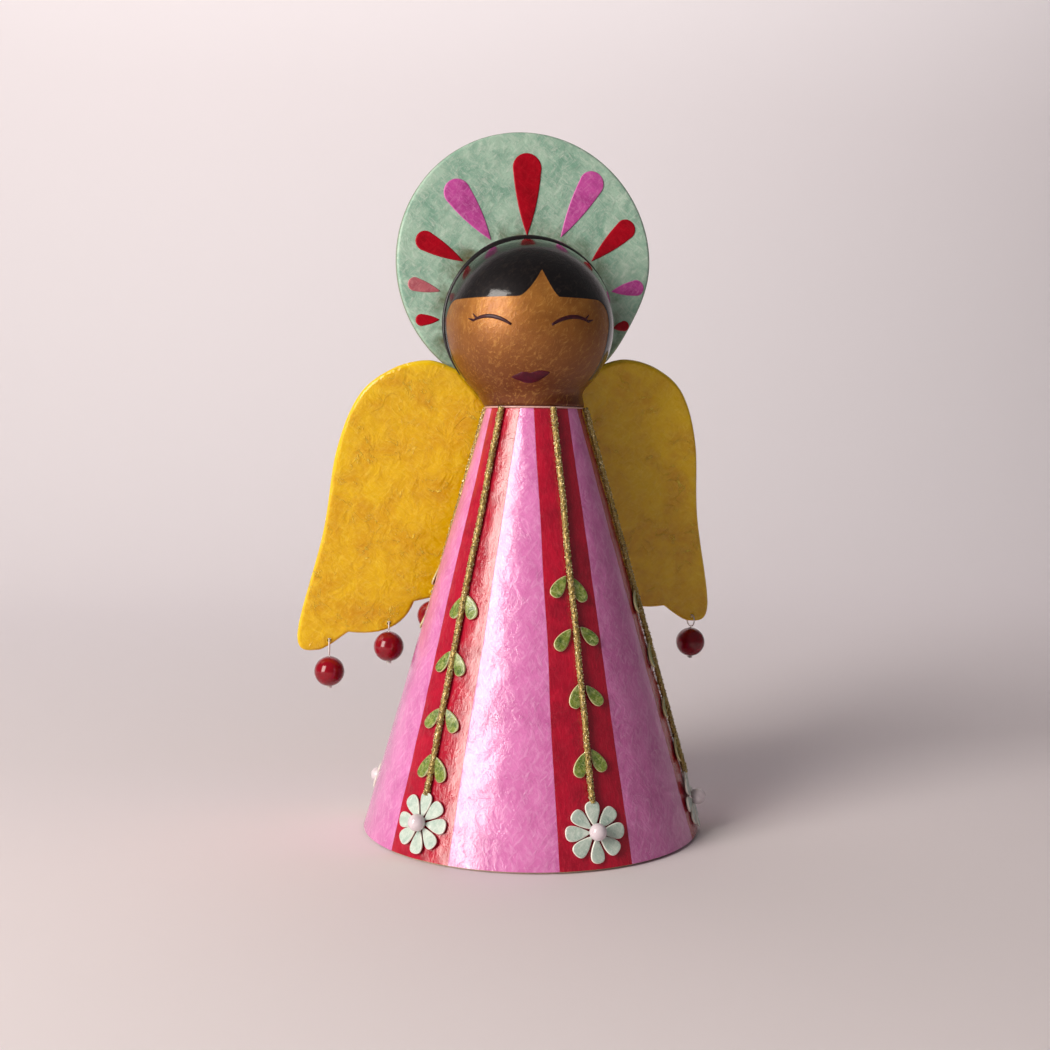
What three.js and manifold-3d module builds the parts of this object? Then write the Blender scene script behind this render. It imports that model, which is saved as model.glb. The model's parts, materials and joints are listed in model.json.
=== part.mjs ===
// Angel tree topper: a hollow striped cone dress with vines and flowers, a ball head in a
// round halo, and two wings at the back with swinging beads on thread loops.
// Millimetres, +Z up, front toward -Y, origin at the middle of the dress's open base.
import * as THREE from 'three';
import { mergeVertices } from 'three/addons/utils/BufferGeometryUtils.js';
import Module from 'manifold-3d';

const wasm = await Module();
wasm.setup();

// Clearances between neighbouring pieces
const SEAT_GAP = 0.3;
const PANEL_GAP = 0.4;
const PANEL_SEAM = 0.4;
const VINE_GAP = 0.35;
const LEAF_GAP = 0.5;

// Dress: outer cone, its stiff core and the veneer panels
const DRESS_BASE_R = 67.6;
const DRESS_TOP_R = 19;
const DRESS_HEIGHT = 168.4;
const PANEL_THICK = 1;
const PANEL_HEM = 0.8;
const CORE_WALL = 2.2;
const CORE_TOP_THICK = 3;
const DRESS_SIDES = 48;

// Stripes: six red panels at these turns from the front, each under a vine, and six pink ones between them
const STRIPE_TURNS = [9, 69, 126, 183, 240, 309];
const RED_TOP_WIDTH = 14.4;
const RED_BASE_WIDTH = 28.8;
const PANEL_COLUMNS = 5;
const PANEL_ROWS = 5;

// Vines: a cord down each red panel, with leaf pairs at shares of the dress height in two ways by turns
const CORD_R = 1.2;
const CORD_SIDES = 6;
const CORD_TOP_INSET = 0.8;
const LEAF_PAIR_RISES = [[0.617, 0.508, 0.387, 0.248], [0.569, 0.445, 0.322, 0.223]];
const LEAF_LENGTH = 10.6;
const LEAF_WIDTH = 5.4;
const LEAF_THICK = 0.9;
const LEAF_DROOP = 60;
const LEAF_STALK_PULL = 0.2;
const LEAF_STALK_SWELL = 1.3;
const LEAF_END_SWELL = 1.5;
const LEAF_CURVE_STEPS = 5;

// Flowers: one below each vine, with a half pearl
const FLOWER_HEIGHT = 13.4;
const FLOWER_R = 11.4;
const FLOWER_WAIST_R = 5.8;
const FLOWER_THICK = 1.1;
const PETALS = 8;
const POINTS_PER_PETAL = 6;
const PEARL_R = 3.2;
const PEARL_FLAT_R = 2.6;
const PEARL_RINGS = 6;
const PEARL_SIDES = 12;

// Head, collar and the hidden dowel
const HEAD_R = 33.5;
const HEAD_RISE = 32.3;
const HEAD_SHIFT = -2.5;
const HEAD_SIDES = 36;
const HEAD_RINGS = 18;
const COLLAR_BASE_R = 19.4;
const COLLAR_TOP_R = 20;
const COLLAR_HEIGHT = 6;
const DOWEL_R = 4;
const DOWEL_IN_HEAD = 18;
const DOWEL_IN_DRESS = 12;
const DOWEL_SIDES = 16;

// Halo: a round plate behind the head, trimmed at its foot, with inlaid drops
const HALO_R = 53;
const HALO_RISE = 58.4;
const HALO_SHIFT = -0.5;
const HALO_FRONT = 16;
const HALO_THICK = 3.6;
const HALO_ROUND = 1.2;
const HALO_FOOT_RISE = 13;
const HALO_SIDES = 56;
const HALO_EDGE_STEPS = 4;
const DROP_THICK = 1;
const DROP_PROUD = 0.3;
const DROP_ARC_POINTS = 9;
const HAIR_RIM_R = 1.5;
const HAIR_RIM_BACK = 4.8;
const HAIR_RIM_DIP = 20;
const HAIR_RIM_STEPS = 24;
const HAIR_RIM_SIDES = 8;

// Each drop: tip, round end and width in halo radii, right of and above the halo's middle
const HALO_DROPS = [
  { name: 'top', shade: 'red', tip: [0, 0.219], end: [-0.006, 0.838], width: 0.204 },
  { name: 'left_2', shade: 'magenta', tip: [-0.283, 0.194], end: [-0.57, 0.6], width: 0.181 },
  { name: 'left_3', shade: 'red', tip: [-0.506, 0.019], end: [-0.821, 0.181], width: 0.136 },
  { name: 'left_4', shade: 'pink', tip: [-0.666, -0.219], end: [-0.894, -0.158], width: 0.094 },
  { name: 'left_5', shade: 'red', tip: [-0.657, -0.438], end: [-0.826, -0.445], width: 0.072 },
  { name: 'right_2', shade: 'magenta', tip: [0.274, 0.23], end: [0.545, 0.709], width: 0.174 },
  { name: 'right_3', shade: 'red', tip: [0.53, 0.047], end: [0.825, 0.343], width: 0.136 },
  { name: 'right_4', shade: 'magenta', tip: [0.687, -0.179], end: [0.932, -0.132], width: 0.094 },
  { name: 'right_5', shade: 'red', tip: [0.698, -0.464], end: [0.834, -0.438], width: 0.072 },
];

// Wings: flat plates that lean like the dress's back and sweep a little backwards
const WING_THICK = 3.6;
const WING_ROUND = 1.2;
const WING_SWEEP = 6;
const WING_ROOT_INSET = 5;
const WING_LENGTH = 122;
const WING_RIGHT_LENGTH = 114;
const WING_LEFT_RISE = 18.5;
const WING_RIGHT_RISE = 20.4;
const WING_ROOT_U = 8.5;
const WING_ROOT_DROP = 26;
const WING_INNER_SHOULDER_U = 29;
const WING_INNER_SHOULDER_DROP = 3.6;
const WING_SHOULDER_U = 41;
const WING_TOP_U = 55.5;
const WING_TOP_DROP = 3.6;
const WING_ARM_U = 68.5;
const WING_ARM_DROP = 14.5;
const WING_WAIST_U = 76.9;
const WING_WAIST_DROP = 37;
const WING_FLARE_U = 81.6;
const WING_FLARE_DROP = 71;
const WING_TIP_U = 91.6;
const WING_TIP_DROP = 115;
const WING_TIP_LOW_U = 83;
const WING_NOTCH_U = 70;
const WING_NOTCH_DROP = 114;
const WING_LOBE_U = 48;
const WING_LOBE_DROP = 117;
const WING_STEP_U = 42.5;
const WING_STEP_DROP = 100.5;
const WING_INNER_U = 30;
const WING_INNER_DROP = 97.5;
const WING_CURVE_STEPS = 4;
const WING_EDGE_STEPS = 2;

// Beads on thread loops through the wings' lower edges
const BEAD_R = 6.4;
const BEAD_BORE_R = 0.8;
const BEAD_DIMPLE = 0.8;
const BEAD_RINGS = 9;
const BEAD_SIDES = 14;
const BEAD_LEFT_DROP = 13.9;
const BEAD_RIGHT_DROP = 12.2;
const BEAD_INNER_DROP = 10.5;
const HOLE_R = 0.9;
const HOLE_SIDES = 8;
const HOLE_MARGIN = 2.6;
const LOOP_R = 0.45;
const LOOP_REACH = 3.7;
const LOOP_STEPS = 20;
const LOOP_SIDES = 5;

// Half of a thread loop's outline, as shares of its reach and of its length
const LOOP_SHAPE = [[0.72, 0.03], [1, 0.28], [0.95, 0.68], [0.5, 0.94]];

// Each wing's height, length, and its beads: share of the wing's reach and drop below the hole
const WING_SIDES = [
  {
    name: 'left',
    hand: -1,
    topRise: WING_LEFT_RISE,
    length: WING_LENGTH,
    beads: [
      { share: 0.8515, drop: BEAD_LEFT_DROP },
      { share: 0.5786, drop: BEAD_INNER_DROP },
      { share: 0.3821, drop: BEAD_INNER_DROP },
    ],
  },
  {
    name: 'right',
    hand: 1,
    topRise: WING_RIGHT_RISE,
    length: WING_RIGHT_LENGTH,
    beads: [
      { share: 0.917, drop: BEAD_RIGHT_DROP },
      { share: 0.5786, drop: BEAD_INNER_DROP },
      { share: 0.3821, drop: BEAD_INNER_DROP },
    ],
  },
];

const RED = 0xbe0a22;
const PINK = 0xde7fbe;
const MAGENTA = 0xc23fa2;
const ROSE = 0xc4747c;
const DROP_SHADES = { red: RED, magenta: MAGENTA, pink: ROSE };

const LEAN = (DRESS_BASE_R - DRESS_TOP_R) / DRESS_HEIGHT;
const LEAN_ANGLE = Math.atan(LEAN);
const HEAD_Z = DRESS_HEIGHT + HEAD_RISE;
const SLANT = Math.cos(LEAN_ANGLE);
const model = new THREE.Group();

function lacquer(color, roughness = 0.3, metalness = 0) {
  return new THREE.MeshStandardMaterial({ color, roughness, metalness });
}

function addPiece(name, geometry, material) {
  const mesh = new THREE.Mesh(geometry, material);
  mesh.name = name;
  model.add(mesh);
}

function bare(geometry) {
  const copy = geometry.index ? geometry.clone() : geometry;
  copy.deleteAttribute('normal');
  copy.deleteAttribute('uv');
  return mergeVertices(copy, 1e-4);
}

function solid(geometry) {
  const merged = bare(geometry);
  const vertProperties = new Float32Array(merged.attributes.position.array);
  const triVerts = new Uint32Array(merged.index.array);
  return new wasm.Manifold(new wasm.Mesh({ numProp: 3, vertProperties, triVerts }));
}

function fromSolid(manifold) {
  const mesh = manifold.getMesh();
  const geometry = new THREE.BufferGeometry();
  const places = new Float32Array(mesh.vertProperties);
  const corners = new Uint32Array(mesh.triVerts);
  geometry.setAttribute('position', new THREE.BufferAttribute(places, 3));
  geometry.setIndex(new THREE.BufferAttribute(corners, 1));
  geometry.computeVertexNormals();
  return geometry;
}

function cut(geometry, tools) {
  return tools.reduce((body, tool) => body.subtract(solid(tool)), solid(geometry));
}

// A turned solid whose axis stands along Z
function turned(profile, sides) {
  const points = profile.map(([r, z]) => new THREE.Vector2(r, z));
  return new THREE.LatheGeometry(points, sides).rotateX(Math.PI / 2);
}

// A rod on the head's axis
function dowelRod(radius, bottom, top) {
  const height = top - bottom;
  return new THREE.CylinderGeometry(radius, radius, height, DOWEL_SIDES)
    .rotateX(Math.PI / 2)
    .translate(HEAD_SHIFT, 0, bottom + height / 2);
}

// A round section drawn out along a path
function roundBar(radius, sides, path, steps) {
  const ring = new THREE.EllipseCurve(0, 0, radius, radius).getPoints(sides);
  const section = new THREE.Shape(ring.slice(1));
  return new THREE.ExtrudeGeometry(section, { steps, bevelEnabled: false, extrudePath: path });
}

function radians(degrees) {
  return THREE.MathUtils.degToRad(degrees);
}

function dressRadius(z) {
  return DRESS_BASE_R - LEAN * z;
}

// A point at an azimuth from the front, a height on the dress and a distance out from its surface
function onDress(azimuth, z, out) {
  const r = dressRadius(z) + out * SLANT;
  const rise = out * Math.sin(LEAN_ANGLE);
  return new THREE.Vector3(r * Math.sin(azimuth), -r * Math.cos(azimuth), z + rise);
}

// Bends a flat piece onto the dress: x runs round it, y up its slope and z out from it
function wrapOnDress(geometry, azimuth, z0) {
  const place = geometry.attributes.position;
  for (let i = 0; i < place.count; i += 1) {
    const z = z0 + place.getY(i) * SLANT;
    const turn = azimuth + place.getX(i) / dressRadius(z);
    place.setXYZ(i, ...onDress(turn, z, place.getZ(i)));
  }
  return geometry;
}

// The axes that stand on the dress's slope at one point
function dressFrame(azimuth, z, out) {
  const across = new THREE.Vector3(Math.cos(azimuth), Math.sin(azimuth), 0);
  const outward = onDress(azimuth, z, 1).sub(onDress(azimuth, z, 0));
  const up = new THREE.Vector3().crossVectors(outward, across);
  return new THREE.Matrix4().makeBasis(across, up, outward).setPosition(onDress(azimuth, z, out));
}

// A stripe's turn from the front; the one after the last is the first again
function stripeAzimuth(k) {
  const rounds = Math.floor(k / STRIPE_TURNS.length);
  return radians(STRIPE_TURNS[k % STRIPE_TURNS.length] + 360 * rounds);
}

function redHalfAngle(z) {
  const width = RED_BASE_WIDTH + (RED_TOP_WIDTH - RED_BASE_WIDTH) * (z / DRESS_HEIGHT);
  return width / 2 / dressRadius(z);
}

function makeCore() {
  const shrink = (PANEL_THICK + PANEL_GAP) / SLANT;
  const wall = CORE_WALL / SLANT;
  const ceiling = DRESS_HEIGHT - CORE_TOP_THICK;
  const shell = turned([
    [0, ceiling],
    [dressRadius(ceiling) - shrink - wall, ceiling],
    [DRESS_BASE_R - shrink - wall, 0],
    [DRESS_BASE_R - shrink, 0],
    [DRESS_TOP_R - shrink, DRESS_HEIGHT],
    [0, DRESS_HEIGHT],
  ], DRESS_SIDES);
  const hole = dowelRod(DOWEL_R + SEAT_GAP, ceiling - CORE_TOP_THICK, DRESS_HEIGHT + CORE_TOP_THICK);
  return fromSolid(cut(shell, [hole]));
}

// A veneer panel between two seams, bent over the core
function makePanel(centre, halfAngle) {
  const panel = new THREE.BoxGeometry(1, 1, 1, PANEL_COLUMNS, PANEL_ROWS, 1);
  const place = panel.attributes.position;
  const top = DRESS_HEIGHT - SEAT_GAP;
  for (let i = 0; i < place.count; i += 1) {
    const z = THREE.MathUtils.lerp(PANEL_HEM, top, place.getY(i) + 0.5);
    const seam = PANEL_SEAM / 2 / dressRadius(z);
    const r = dressRadius(z) - (place.getZ(i) < 0 ? PANEL_THICK / SLANT : 0);
    const azimuth = centre + 2 * place.getX(i) * (halfAngle(z) - seam);
    place.setXYZ(i, r * Math.sin(azimuth), -r * Math.cos(azimuth), z);
  }
  return bare(panel);
}

function cordTube(azimuth, radius) {
  const out = CORD_R + VINE_GAP;
  const start = onDress(azimuth, DRESS_HEIGHT - CORD_TOP_INSET, out);
  const end = onDress(azimuth, FLOWER_HEIGHT + (FLOWER_R + SEAT_GAP) * SLANT, out);
  return roundBar(radius, CORD_SIDES, new THREE.LineCurve3(start, end), 1);
}

// One leaf, its stalk end at the cord and its round end out and down, swollen by a clearance
function makeLeaf(azimuth, z, hand, gap) {
  const outline = new THREE.Shape();
  const half = LEAF_WIDTH / 2 + gap;
  const length = LEAF_LENGTH + gap;
  const pull = length * LEAF_STALK_PULL;
  const stalkSwell = half * LEAF_STALK_SWELL;
  const endSwell = half * LEAF_END_SWELL;
  outline.moveTo(0, 0);
  outline.bezierCurveTo(pull, stalkSwell, length, endSwell, length, 0);
  outline.bezierCurveTo(length, -endSwell, pull, -stalkSwell, 0, 0);
  const leaf = new THREE.ExtrudeGeometry(outline, {
    depth: LEAF_THICK + 2 * gap,
    bevelEnabled: false,
    curveSegments: LEAF_CURVE_STEPS,
  });
  const heading = hand > 0 ? -radians(LEAF_DROOP) : Math.PI + radians(LEAF_DROOP);
  leaf.translate(CORD_R / 2, 0, LEAF_GAP - gap).rotateZ(heading);
  return wrapOnDress(leaf, azimuth, z);
}

// A cord and its leaves as one solid, or the room that they need
function vineSolid(k, gap) {
  const azimuth = stripeAzimuth(k);
  let vine = solid(cordTube(azimuth, CORD_R + gap));
  for (const rise of LEAF_PAIR_RISES[k % 2]) {
    const leaves = [1, -1].map((hand) => solid(makeLeaf(azimuth, rise * DRESS_HEIGHT, hand, gap)));
    vine = vine.add(leaves[0]).add(leaves[1]);
  }
  return vine;
}

// A flower of rounded petals on one thin disc, bent over the dress
function makeFlower(azimuth) {
  const points = PETALS * POINTS_PER_PETAL;
  const disc = new THREE.CylinderGeometry(1, 1, FLOWER_THICK, points).rotateX(Math.PI / 2);
  const place = disc.attributes.position;
  for (let i = 0; i < place.count; i += 1) {
    const angle = Math.atan2(place.getY(i), place.getX(i));
    const petal = Math.abs(Math.cos((angle * PETALS) / 2));
    const reach = FLOWER_WAIST_R + (FLOWER_R - FLOWER_WAIST_R) * Math.sqrt(petal);
    place.setX(i, place.getX(i) * reach);
    place.setY(i, place.getY(i) * reach);
  }
  disc.translate(0, 0, LEAF_GAP + FLOWER_THICK / 2);
  return bare(wrapOnDress(disc, azimuth, FLOWER_HEIGHT));
}

function makePearl(azimuth) {
  const sink = Math.sqrt(PEARL_R ** 2 - PEARL_FLAT_R ** 2);
  const from = Math.asin(-sink / PEARL_R);
  const profile = [[0, 0]];
  for (let i = 0; i <= PEARL_RINGS; i += 1) {
    const rise = THREE.MathUtils.lerp(from, Math.PI / 2, i / PEARL_RINGS);
    profile.push([i < PEARL_RINGS ? PEARL_R * Math.cos(rise) : 0, sink + PEARL_R * Math.sin(rise)]);
  }
  const seat = LEAF_GAP + FLOWER_THICK + SEAT_GAP;
  return turned(profile, PEARL_SIDES).applyMatrix4(dressFrame(azimuth, FLOWER_HEIGHT, seat));
}

function makeHead() {
  const base = SEAT_GAP - HEAD_RISE;
  const boreTop = DOWEL_IN_HEAD + SEAT_GAP - HEAD_RISE;
  const from = Math.asin(base / HEAD_R);
  const profile = [
    [0, boreTop],
    [DOWEL_R + SEAT_GAP, boreTop],
    [DOWEL_R + SEAT_GAP, base],
  ];
  for (let i = 0; i <= HEAD_RINGS; i += 1) {
    const rise = THREE.MathUtils.lerp(from, Math.PI / 2, i / HEAD_RINGS);
    profile.push([i < HEAD_RINGS ? HEAD_R * Math.cos(rise) : 0, HEAD_R * Math.sin(rise)]);
  }
  return turned(profile, HEAD_SIDES).translate(HEAD_SHIFT, 0, HEAD_Z);
}

// The ball that neighbours of the head are cut by
function headRoom() {
  return new THREE.SphereGeometry(HEAD_R + SEAT_GAP, HEAD_SIDES, 2 * HEAD_RINGS)
    .rotateX(Math.PI / 2)
    .translate(HEAD_SHIFT, 0, HEAD_Z);
}

// The collar leans from the dress's axis to the head's and is dished by the ball
function makeCollar(gap) {
  const bottom = DRESS_HEIGHT + SEAT_GAP - gap;
  const top = COLLAR_TOP_R + gap;
  const base = COLLAR_BASE_R + gap;
  const height = COLLAR_HEIGHT + gap;
  const collar = new THREE.CylinderGeometry(top, base, height, HEAD_SIDES)
    .rotateX(Math.PI / 2)
    .translate(0, 0, height / 2);
  const lean = new THREE.Matrix4().makeShear(0, 0, 0, 0, HEAD_SHIFT / HEAD_RISE, 0);
  return collar.applyMatrix4(lean).translate(0, 0, bottom);
}

function makeHairRim() {
  const reach = HEAD_R + SEAT_GAP + HAIR_RIM_R;
  const ring = Math.sqrt(reach ** 2 - HAIR_RIM_BACK ** 2);
  const from = radians(-HAIR_RIM_DIP);
  const points = [];
  for (let i = 0; i <= HAIR_RIM_STEPS; i += 1) {
    const a = THREE.MathUtils.lerp(from, Math.PI - from, i / HAIR_RIM_STEPS);
    const x = HEAD_SHIFT + ring * Math.cos(a);
    points.push(new THREE.Vector3(x, HAIR_RIM_BACK, HEAD_Z + ring * Math.sin(a)));
  }
  return roundBar(HAIR_RIM_R, HAIR_RIM_SIDES, new THREE.CatmullRomCurve3(points), HAIR_RIM_STEPS);
}

// A drop's outline, swollen all round by a clearance
function dropShape(drop, gap) {
  const tip = new THREE.Vector2(...drop.tip).multiplyScalar(HALO_R);
  const end = new THREE.Vector2(...drop.end).multiplyScalar(HALO_R);
  const along = end.clone().sub(tip).normalize();
  const across = new THREE.Vector2(-along.y, along.x);
  const r = (drop.width * HALO_R) / 2;
  const middle = end.clone().addScaledVector(along, -r);
  const flank = Math.asin(r / middle.distanceTo(tip));
  const points = [tip.clone().addScaledVector(along, -gap / Math.sin(flank))];
  for (let i = 0; i <= DROP_ARC_POINTS; i += 1) {
    const a = THREE.MathUtils.lerp(-Math.PI / 2 - flank, Math.PI / 2 + flank, i / DROP_ARC_POINTS);
    const point = middle.clone().addScaledVector(along, (r + gap) * Math.cos(a));
    points.push(point.addScaledVector(across, (r + gap) * Math.sin(a)));
  }
  return new THREE.Shape(points);
}

// A drop's solid with its face toward the front and its back at the given depth
function dropSolid(drop, gap, front, back) {
  const depth = back - front;
  return new THREE.ExtrudeGeometry(dropShape(drop, gap), { depth, bevelEnabled: false })
    .rotateX(Math.PI / 2)
    .translate(HALO_SHIFT, back, DRESS_HEIGHT + HALO_RISE);
}

function makeHalo() {
  const half = HALO_THICK / 2;
  const profile = [[0, -half]];
  for (let i = 0; i <= HALO_EDGE_STEPS; i += 1) {
    const a = THREE.MathUtils.lerp(-Math.PI / 2, Math.PI / 2, i / HALO_EDGE_STEPS);
    const level = Math.sign(2 * i - HALO_EDGE_STEPS) * (half - HALO_ROUND);
    const r = HALO_R - HALO_ROUND + HALO_ROUND * Math.cos(a);
    profile.push([r, level + HALO_ROUND * Math.sin(a)]);
  }
  profile.push([0, half]);
  const plate = turned(profile, HALO_SIDES)
    .rotateX(Math.PI / 2)
    .translate(HALO_SHIFT, HALO_FRONT + half, DRESS_HEIGHT + HALO_RISE);
  const below = new THREE.BoxGeometry(4 * HALO_R, 4 * HALO_THICK, 2 * HALO_R)
    .translate(HALO_SHIFT, HALO_FRONT, DRESS_HEIGHT + HALO_FOOT_RISE - HALO_R);
  const floor = HALO_FRONT - DROP_PROUD + DROP_THICK + SEAT_GAP;
  const mouth = HALO_FRONT - 2 * DROP_PROUD;
  const pockets = HALO_DROPS.map((drop) => dropSolid(drop, SEAT_GAP, mouth, floor));
  return fromSolid(cut(plate, [headRoom(), below, ...pockets]));
}

function makeDrop(drop) {
  const face = HALO_FRONT - DROP_PROUD;
  return dropSolid(drop, 0, face, face + DROP_THICK);
}

// The wing's outline: distance out along the wing and height
function wingOutline(side) {
  const top = DRESS_HEIGHT + side.topRise;
  const at = (u, drop) => new THREE.Vector2(u, top - (drop * side.length) / WING_LENGTH);
  const outline = new THREE.Shape();
  outline.moveTo(...at(WING_ROOT_U, WING_ROOT_DROP));
  outline.lineTo(...at(WING_INNER_SHOULDER_U, WING_INNER_SHOULDER_DROP));
  outline.splineThru([
    at(WING_SHOULDER_U, 0),
    at(WING_TOP_U, WING_TOP_DROP),
    at(WING_ARM_U, WING_ARM_DROP),
    at(WING_WAIST_U, WING_WAIST_DROP),
    at(WING_FLARE_U, WING_FLARE_DROP),
    at(WING_TIP_U, WING_TIP_DROP),
    at(WING_TIP_LOW_U, WING_LENGTH),
    at(WING_NOTCH_U, WING_NOTCH_DROP),
  ]);
  outline.quadraticCurveTo(...at(WING_LOBE_U, WING_LOBE_DROP), ...at(WING_STEP_U, WING_STEP_DROP));
  outline.lineTo(...at(WING_INNER_U, WING_INNER_DROP));
  outline.lineTo(...at(WING_ROOT_U, WING_INNER_DROP));
  return outline;
}

// Places a wing's own axes: out along the wing, up its lean, and through its thickness
function wingFrame(side) {
  const sweep = radians(WING_SWEEP);
  const out = new THREE.Vector3(side.hand * Math.cos(sweep), Math.sin(sweep), 0);
  const up = new THREE.Vector3(0, -LEAN, 1);
  const through = new THREE.Vector3().crossVectors(out, up).normalize();
  const origin = new THREE.Vector3(0, DRESS_BASE_R - WING_ROOT_INSET, 0);
  return new THREE.Matrix4().makeBasis(out, up, through).setPosition(origin);
}

// The lowest height of the wing's outline at one distance out
function lowerEdge(side, u) {
  const points = wingOutline(side).getPoints(WING_CURVE_STEPS);
  let lowest = Infinity;
  for (let i = 0; i < points.length; i += 1) {
    const a = points[i];
    const b = points[(i + 1) % points.length];
    const share = (u - a.x) / (b.x - a.x);
    if (share >= 0 && share <= 1) {
      lowest = Math.min(lowest, THREE.MathUtils.lerp(a.y, b.y, share));
    }
  }
  return lowest;
}

function holePlace(side, bead) {
  const u = bead.share * WING_TIP_U;
  const middle = new THREE.Vector3(u, lowerEdge(side, u) + HOLE_MARGIN, 0);
  return middle.applyMatrix4(wingFrame(side));
}

// Turns a piece drawn across the wing to the wing's sweep and puts it at a hole
function hangAt(geometry, side, bead) {
  return geometry.rotateZ(side.hand * radians(WING_SWEEP)).translate(...holePlace(side, bead));
}

function makeWing(side) {
  const plate = new THREE.ExtrudeGeometry(wingOutline(side), {
    depth: WING_THICK - 2 * WING_ROUND,
    bevelThickness: WING_ROUND,
    bevelSize: WING_ROUND,
    bevelOffset: -WING_ROUND,
    bevelSegments: WING_EDGE_STEPS,
    curveSegments: WING_CURVE_STEPS,
  });
  plate.translate(0, 0, WING_ROUND - WING_THICK / 2).applyMatrix4(wingFrame(side));
  const gap = SEAT_GAP / SLANT;
  const dressRoom = turned([
    [0, 0],
    [DRESS_BASE_R + gap, 0],
    [DRESS_TOP_R + gap, DRESS_HEIGHT + SEAT_GAP],
    [0, DRESS_HEIGHT + SEAT_GAP],
  ], 2 * DRESS_SIDES);
  const tools = [dressRoom, headRoom(), makeCollar(SEAT_GAP)];
  for (const bead of side.beads) {
    const hole = new THREE.CylinderGeometry(HOLE_R, HOLE_R, 4 * WING_THICK, HOLE_SIDES);
    tools.push(hangAt(hole, side, bead));
  }
  let wing = cut(plate, tools);
  for (let k = 0; k < STRIPE_TURNS.length; k += 1) {
    wing = wing.subtract(vineSolid(k, SEAT_GAP));
  }
  return fromSolid(wing);
}

// A thread loop through the hole and round the wing's edge, drawn in to the bead
function makeLoop(side, bead) {
  const length = bead.drop - BEAD_R - SEAT_GAP - LOOP_R;
  const mirrored = LOOP_SHAPE.map(([y, z]) => [-y, z]).reverse();
  const outline = [[0, 0], ...LOOP_SHAPE, [0, 1], ...mirrored];
  const points = outline.map(([y, z]) => new THREE.Vector3(0, y * LOOP_REACH, -z * length));
  const path = new THREE.CatmullRomCurve3(points, true);
  return hangAt(new THREE.TubeGeometry(path, LOOP_STEPS, LOOP_R, LOOP_SIDES, true), side, bead);
}

// A round bead with its drilled ends
function makeBead(side, bead) {
  const mouth = Math.sqrt(BEAD_R ** 2 - BEAD_BORE_R ** 2);
  const from = Math.asin(mouth / BEAD_R);
  const profile = [
    [0, BEAD_DIMPLE - mouth],
    [BEAD_BORE_R, BEAD_DIMPLE - mouth],
  ];
  for (let i = 0; i <= BEAD_RINGS; i += 1) {
    const rise = THREE.MathUtils.lerp(-from, from, i / BEAD_RINGS);
    profile.push([BEAD_R * Math.cos(rise), BEAD_R * Math.sin(rise)]);
  }
  profile.push([BEAD_BORE_R, mouth - BEAD_DIMPLE], [0, mouth - BEAD_DIMPLE]);
  return hangAt(turned(profile, BEAD_SIDES).translate(0, 0, -bead.drop), side, bead);
}

const card = lacquer(0xcbb79a, 0.9);
const redShell = lacquer(RED, 0.25);
const pinkShell = lacquer(PINK, 0.25);
const vineGold = lacquer(0xb9a048, 0.5, 0.4);
const petalShell = lacquer(0xc3d2c4, 0.35);
const whitePearl = lacquer(0xeadfe6, 0.2);
const bronzeSkin = lacquer(0xa5682e, 0.25, 0.3);
const blackHair = lacquer(0x1c1517, 0.15);
const mintShell = lacquer(0x93b8a4, 0.35);
const goldShell = lacquer(0xd6a20a, 0.35, 0.2);
const redPearl = lacquer(0xa50a20, 0.2);
const thread = lacquer(0xe8e6e2, 0.3);
const wood = lacquer(0xb98d5a, 0.8);

addPiece('dress_core', makeCore(), card);
for (let k = 0; k < STRIPE_TURNS.length; k += 1) {
  const azimuth = stripeAzimuth(k);
  const halfStep = (stripeAzimuth(k + 1) - azimuth) / 2;
  const pinkHalf = (z) => halfStep - redHalfAngle(z);
  addPiece(`red_panel_${k + 1}`, makePanel(azimuth, redHalfAngle), redShell);
  addPiece(`pink_panel_${k + 1}`, makePanel(azimuth + halfStep, pinkHalf), pinkShell);
  addPiece(`vine_${k + 1}`, fromSolid(vineSolid(k, 0)), vineGold);
  addPiece(`flower_${k + 1}`, makeFlower(azimuth), petalShell);
  addPiece(`flower_pearl_${k + 1}`, makePearl(azimuth), whitePearl);
}
addPiece('neck_collar', fromSolid(cut(makeCollar(0), [headRoom()])), bronzeSkin);
const dowel = dowelRod(DOWEL_R, DRESS_HEIGHT - DOWEL_IN_DRESS, DRESS_HEIGHT + DOWEL_IN_HEAD);
addPiece('neck_dowel', dowel, wood);
addPiece('head', makeHead(), bronzeSkin);
addPiece('hair_rim', makeHairRim(), blackHair);
addPiece('halo', makeHalo(), mintShell);
for (const drop of HALO_DROPS) {
  addPiece(`halo_drop_${drop.name}`, makeDrop(drop), lacquer(DROP_SHADES[drop.shade]));
}
for (const side of WING_SIDES) {
  addPiece(`wing_${side.name}`, makeWing(side), goldShell);
  side.beads.forEach((bead, i) => {
    addPiece(`bead_loop_${side.name}_${i + 1}`, makeLoop(side, bead), thread);
    addPiece(`bead_${side.name}_${i + 1}`, makeBead(side, bead), redPearl);
  });
}

export default model;
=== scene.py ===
"""Angel tree topper of lacquered shell veneer: striped cone dress with vines and flowers,
painted ball head in a round halo, and golden wings hung with red pearl beads.
Sizes are in millimetres until MM turns them into metres. +Z is up and the front is toward -Y."""
import json
from math import (
    acos, asin, atan, atan2, cos, degrees, exp, hypot, pi, radians, remainder, sin, sqrt)

import bpy
import numpy as np
from mathutils import Matrix, Vector, noise
from mathutils.geometry import delaunay_2d_cdt


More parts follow.
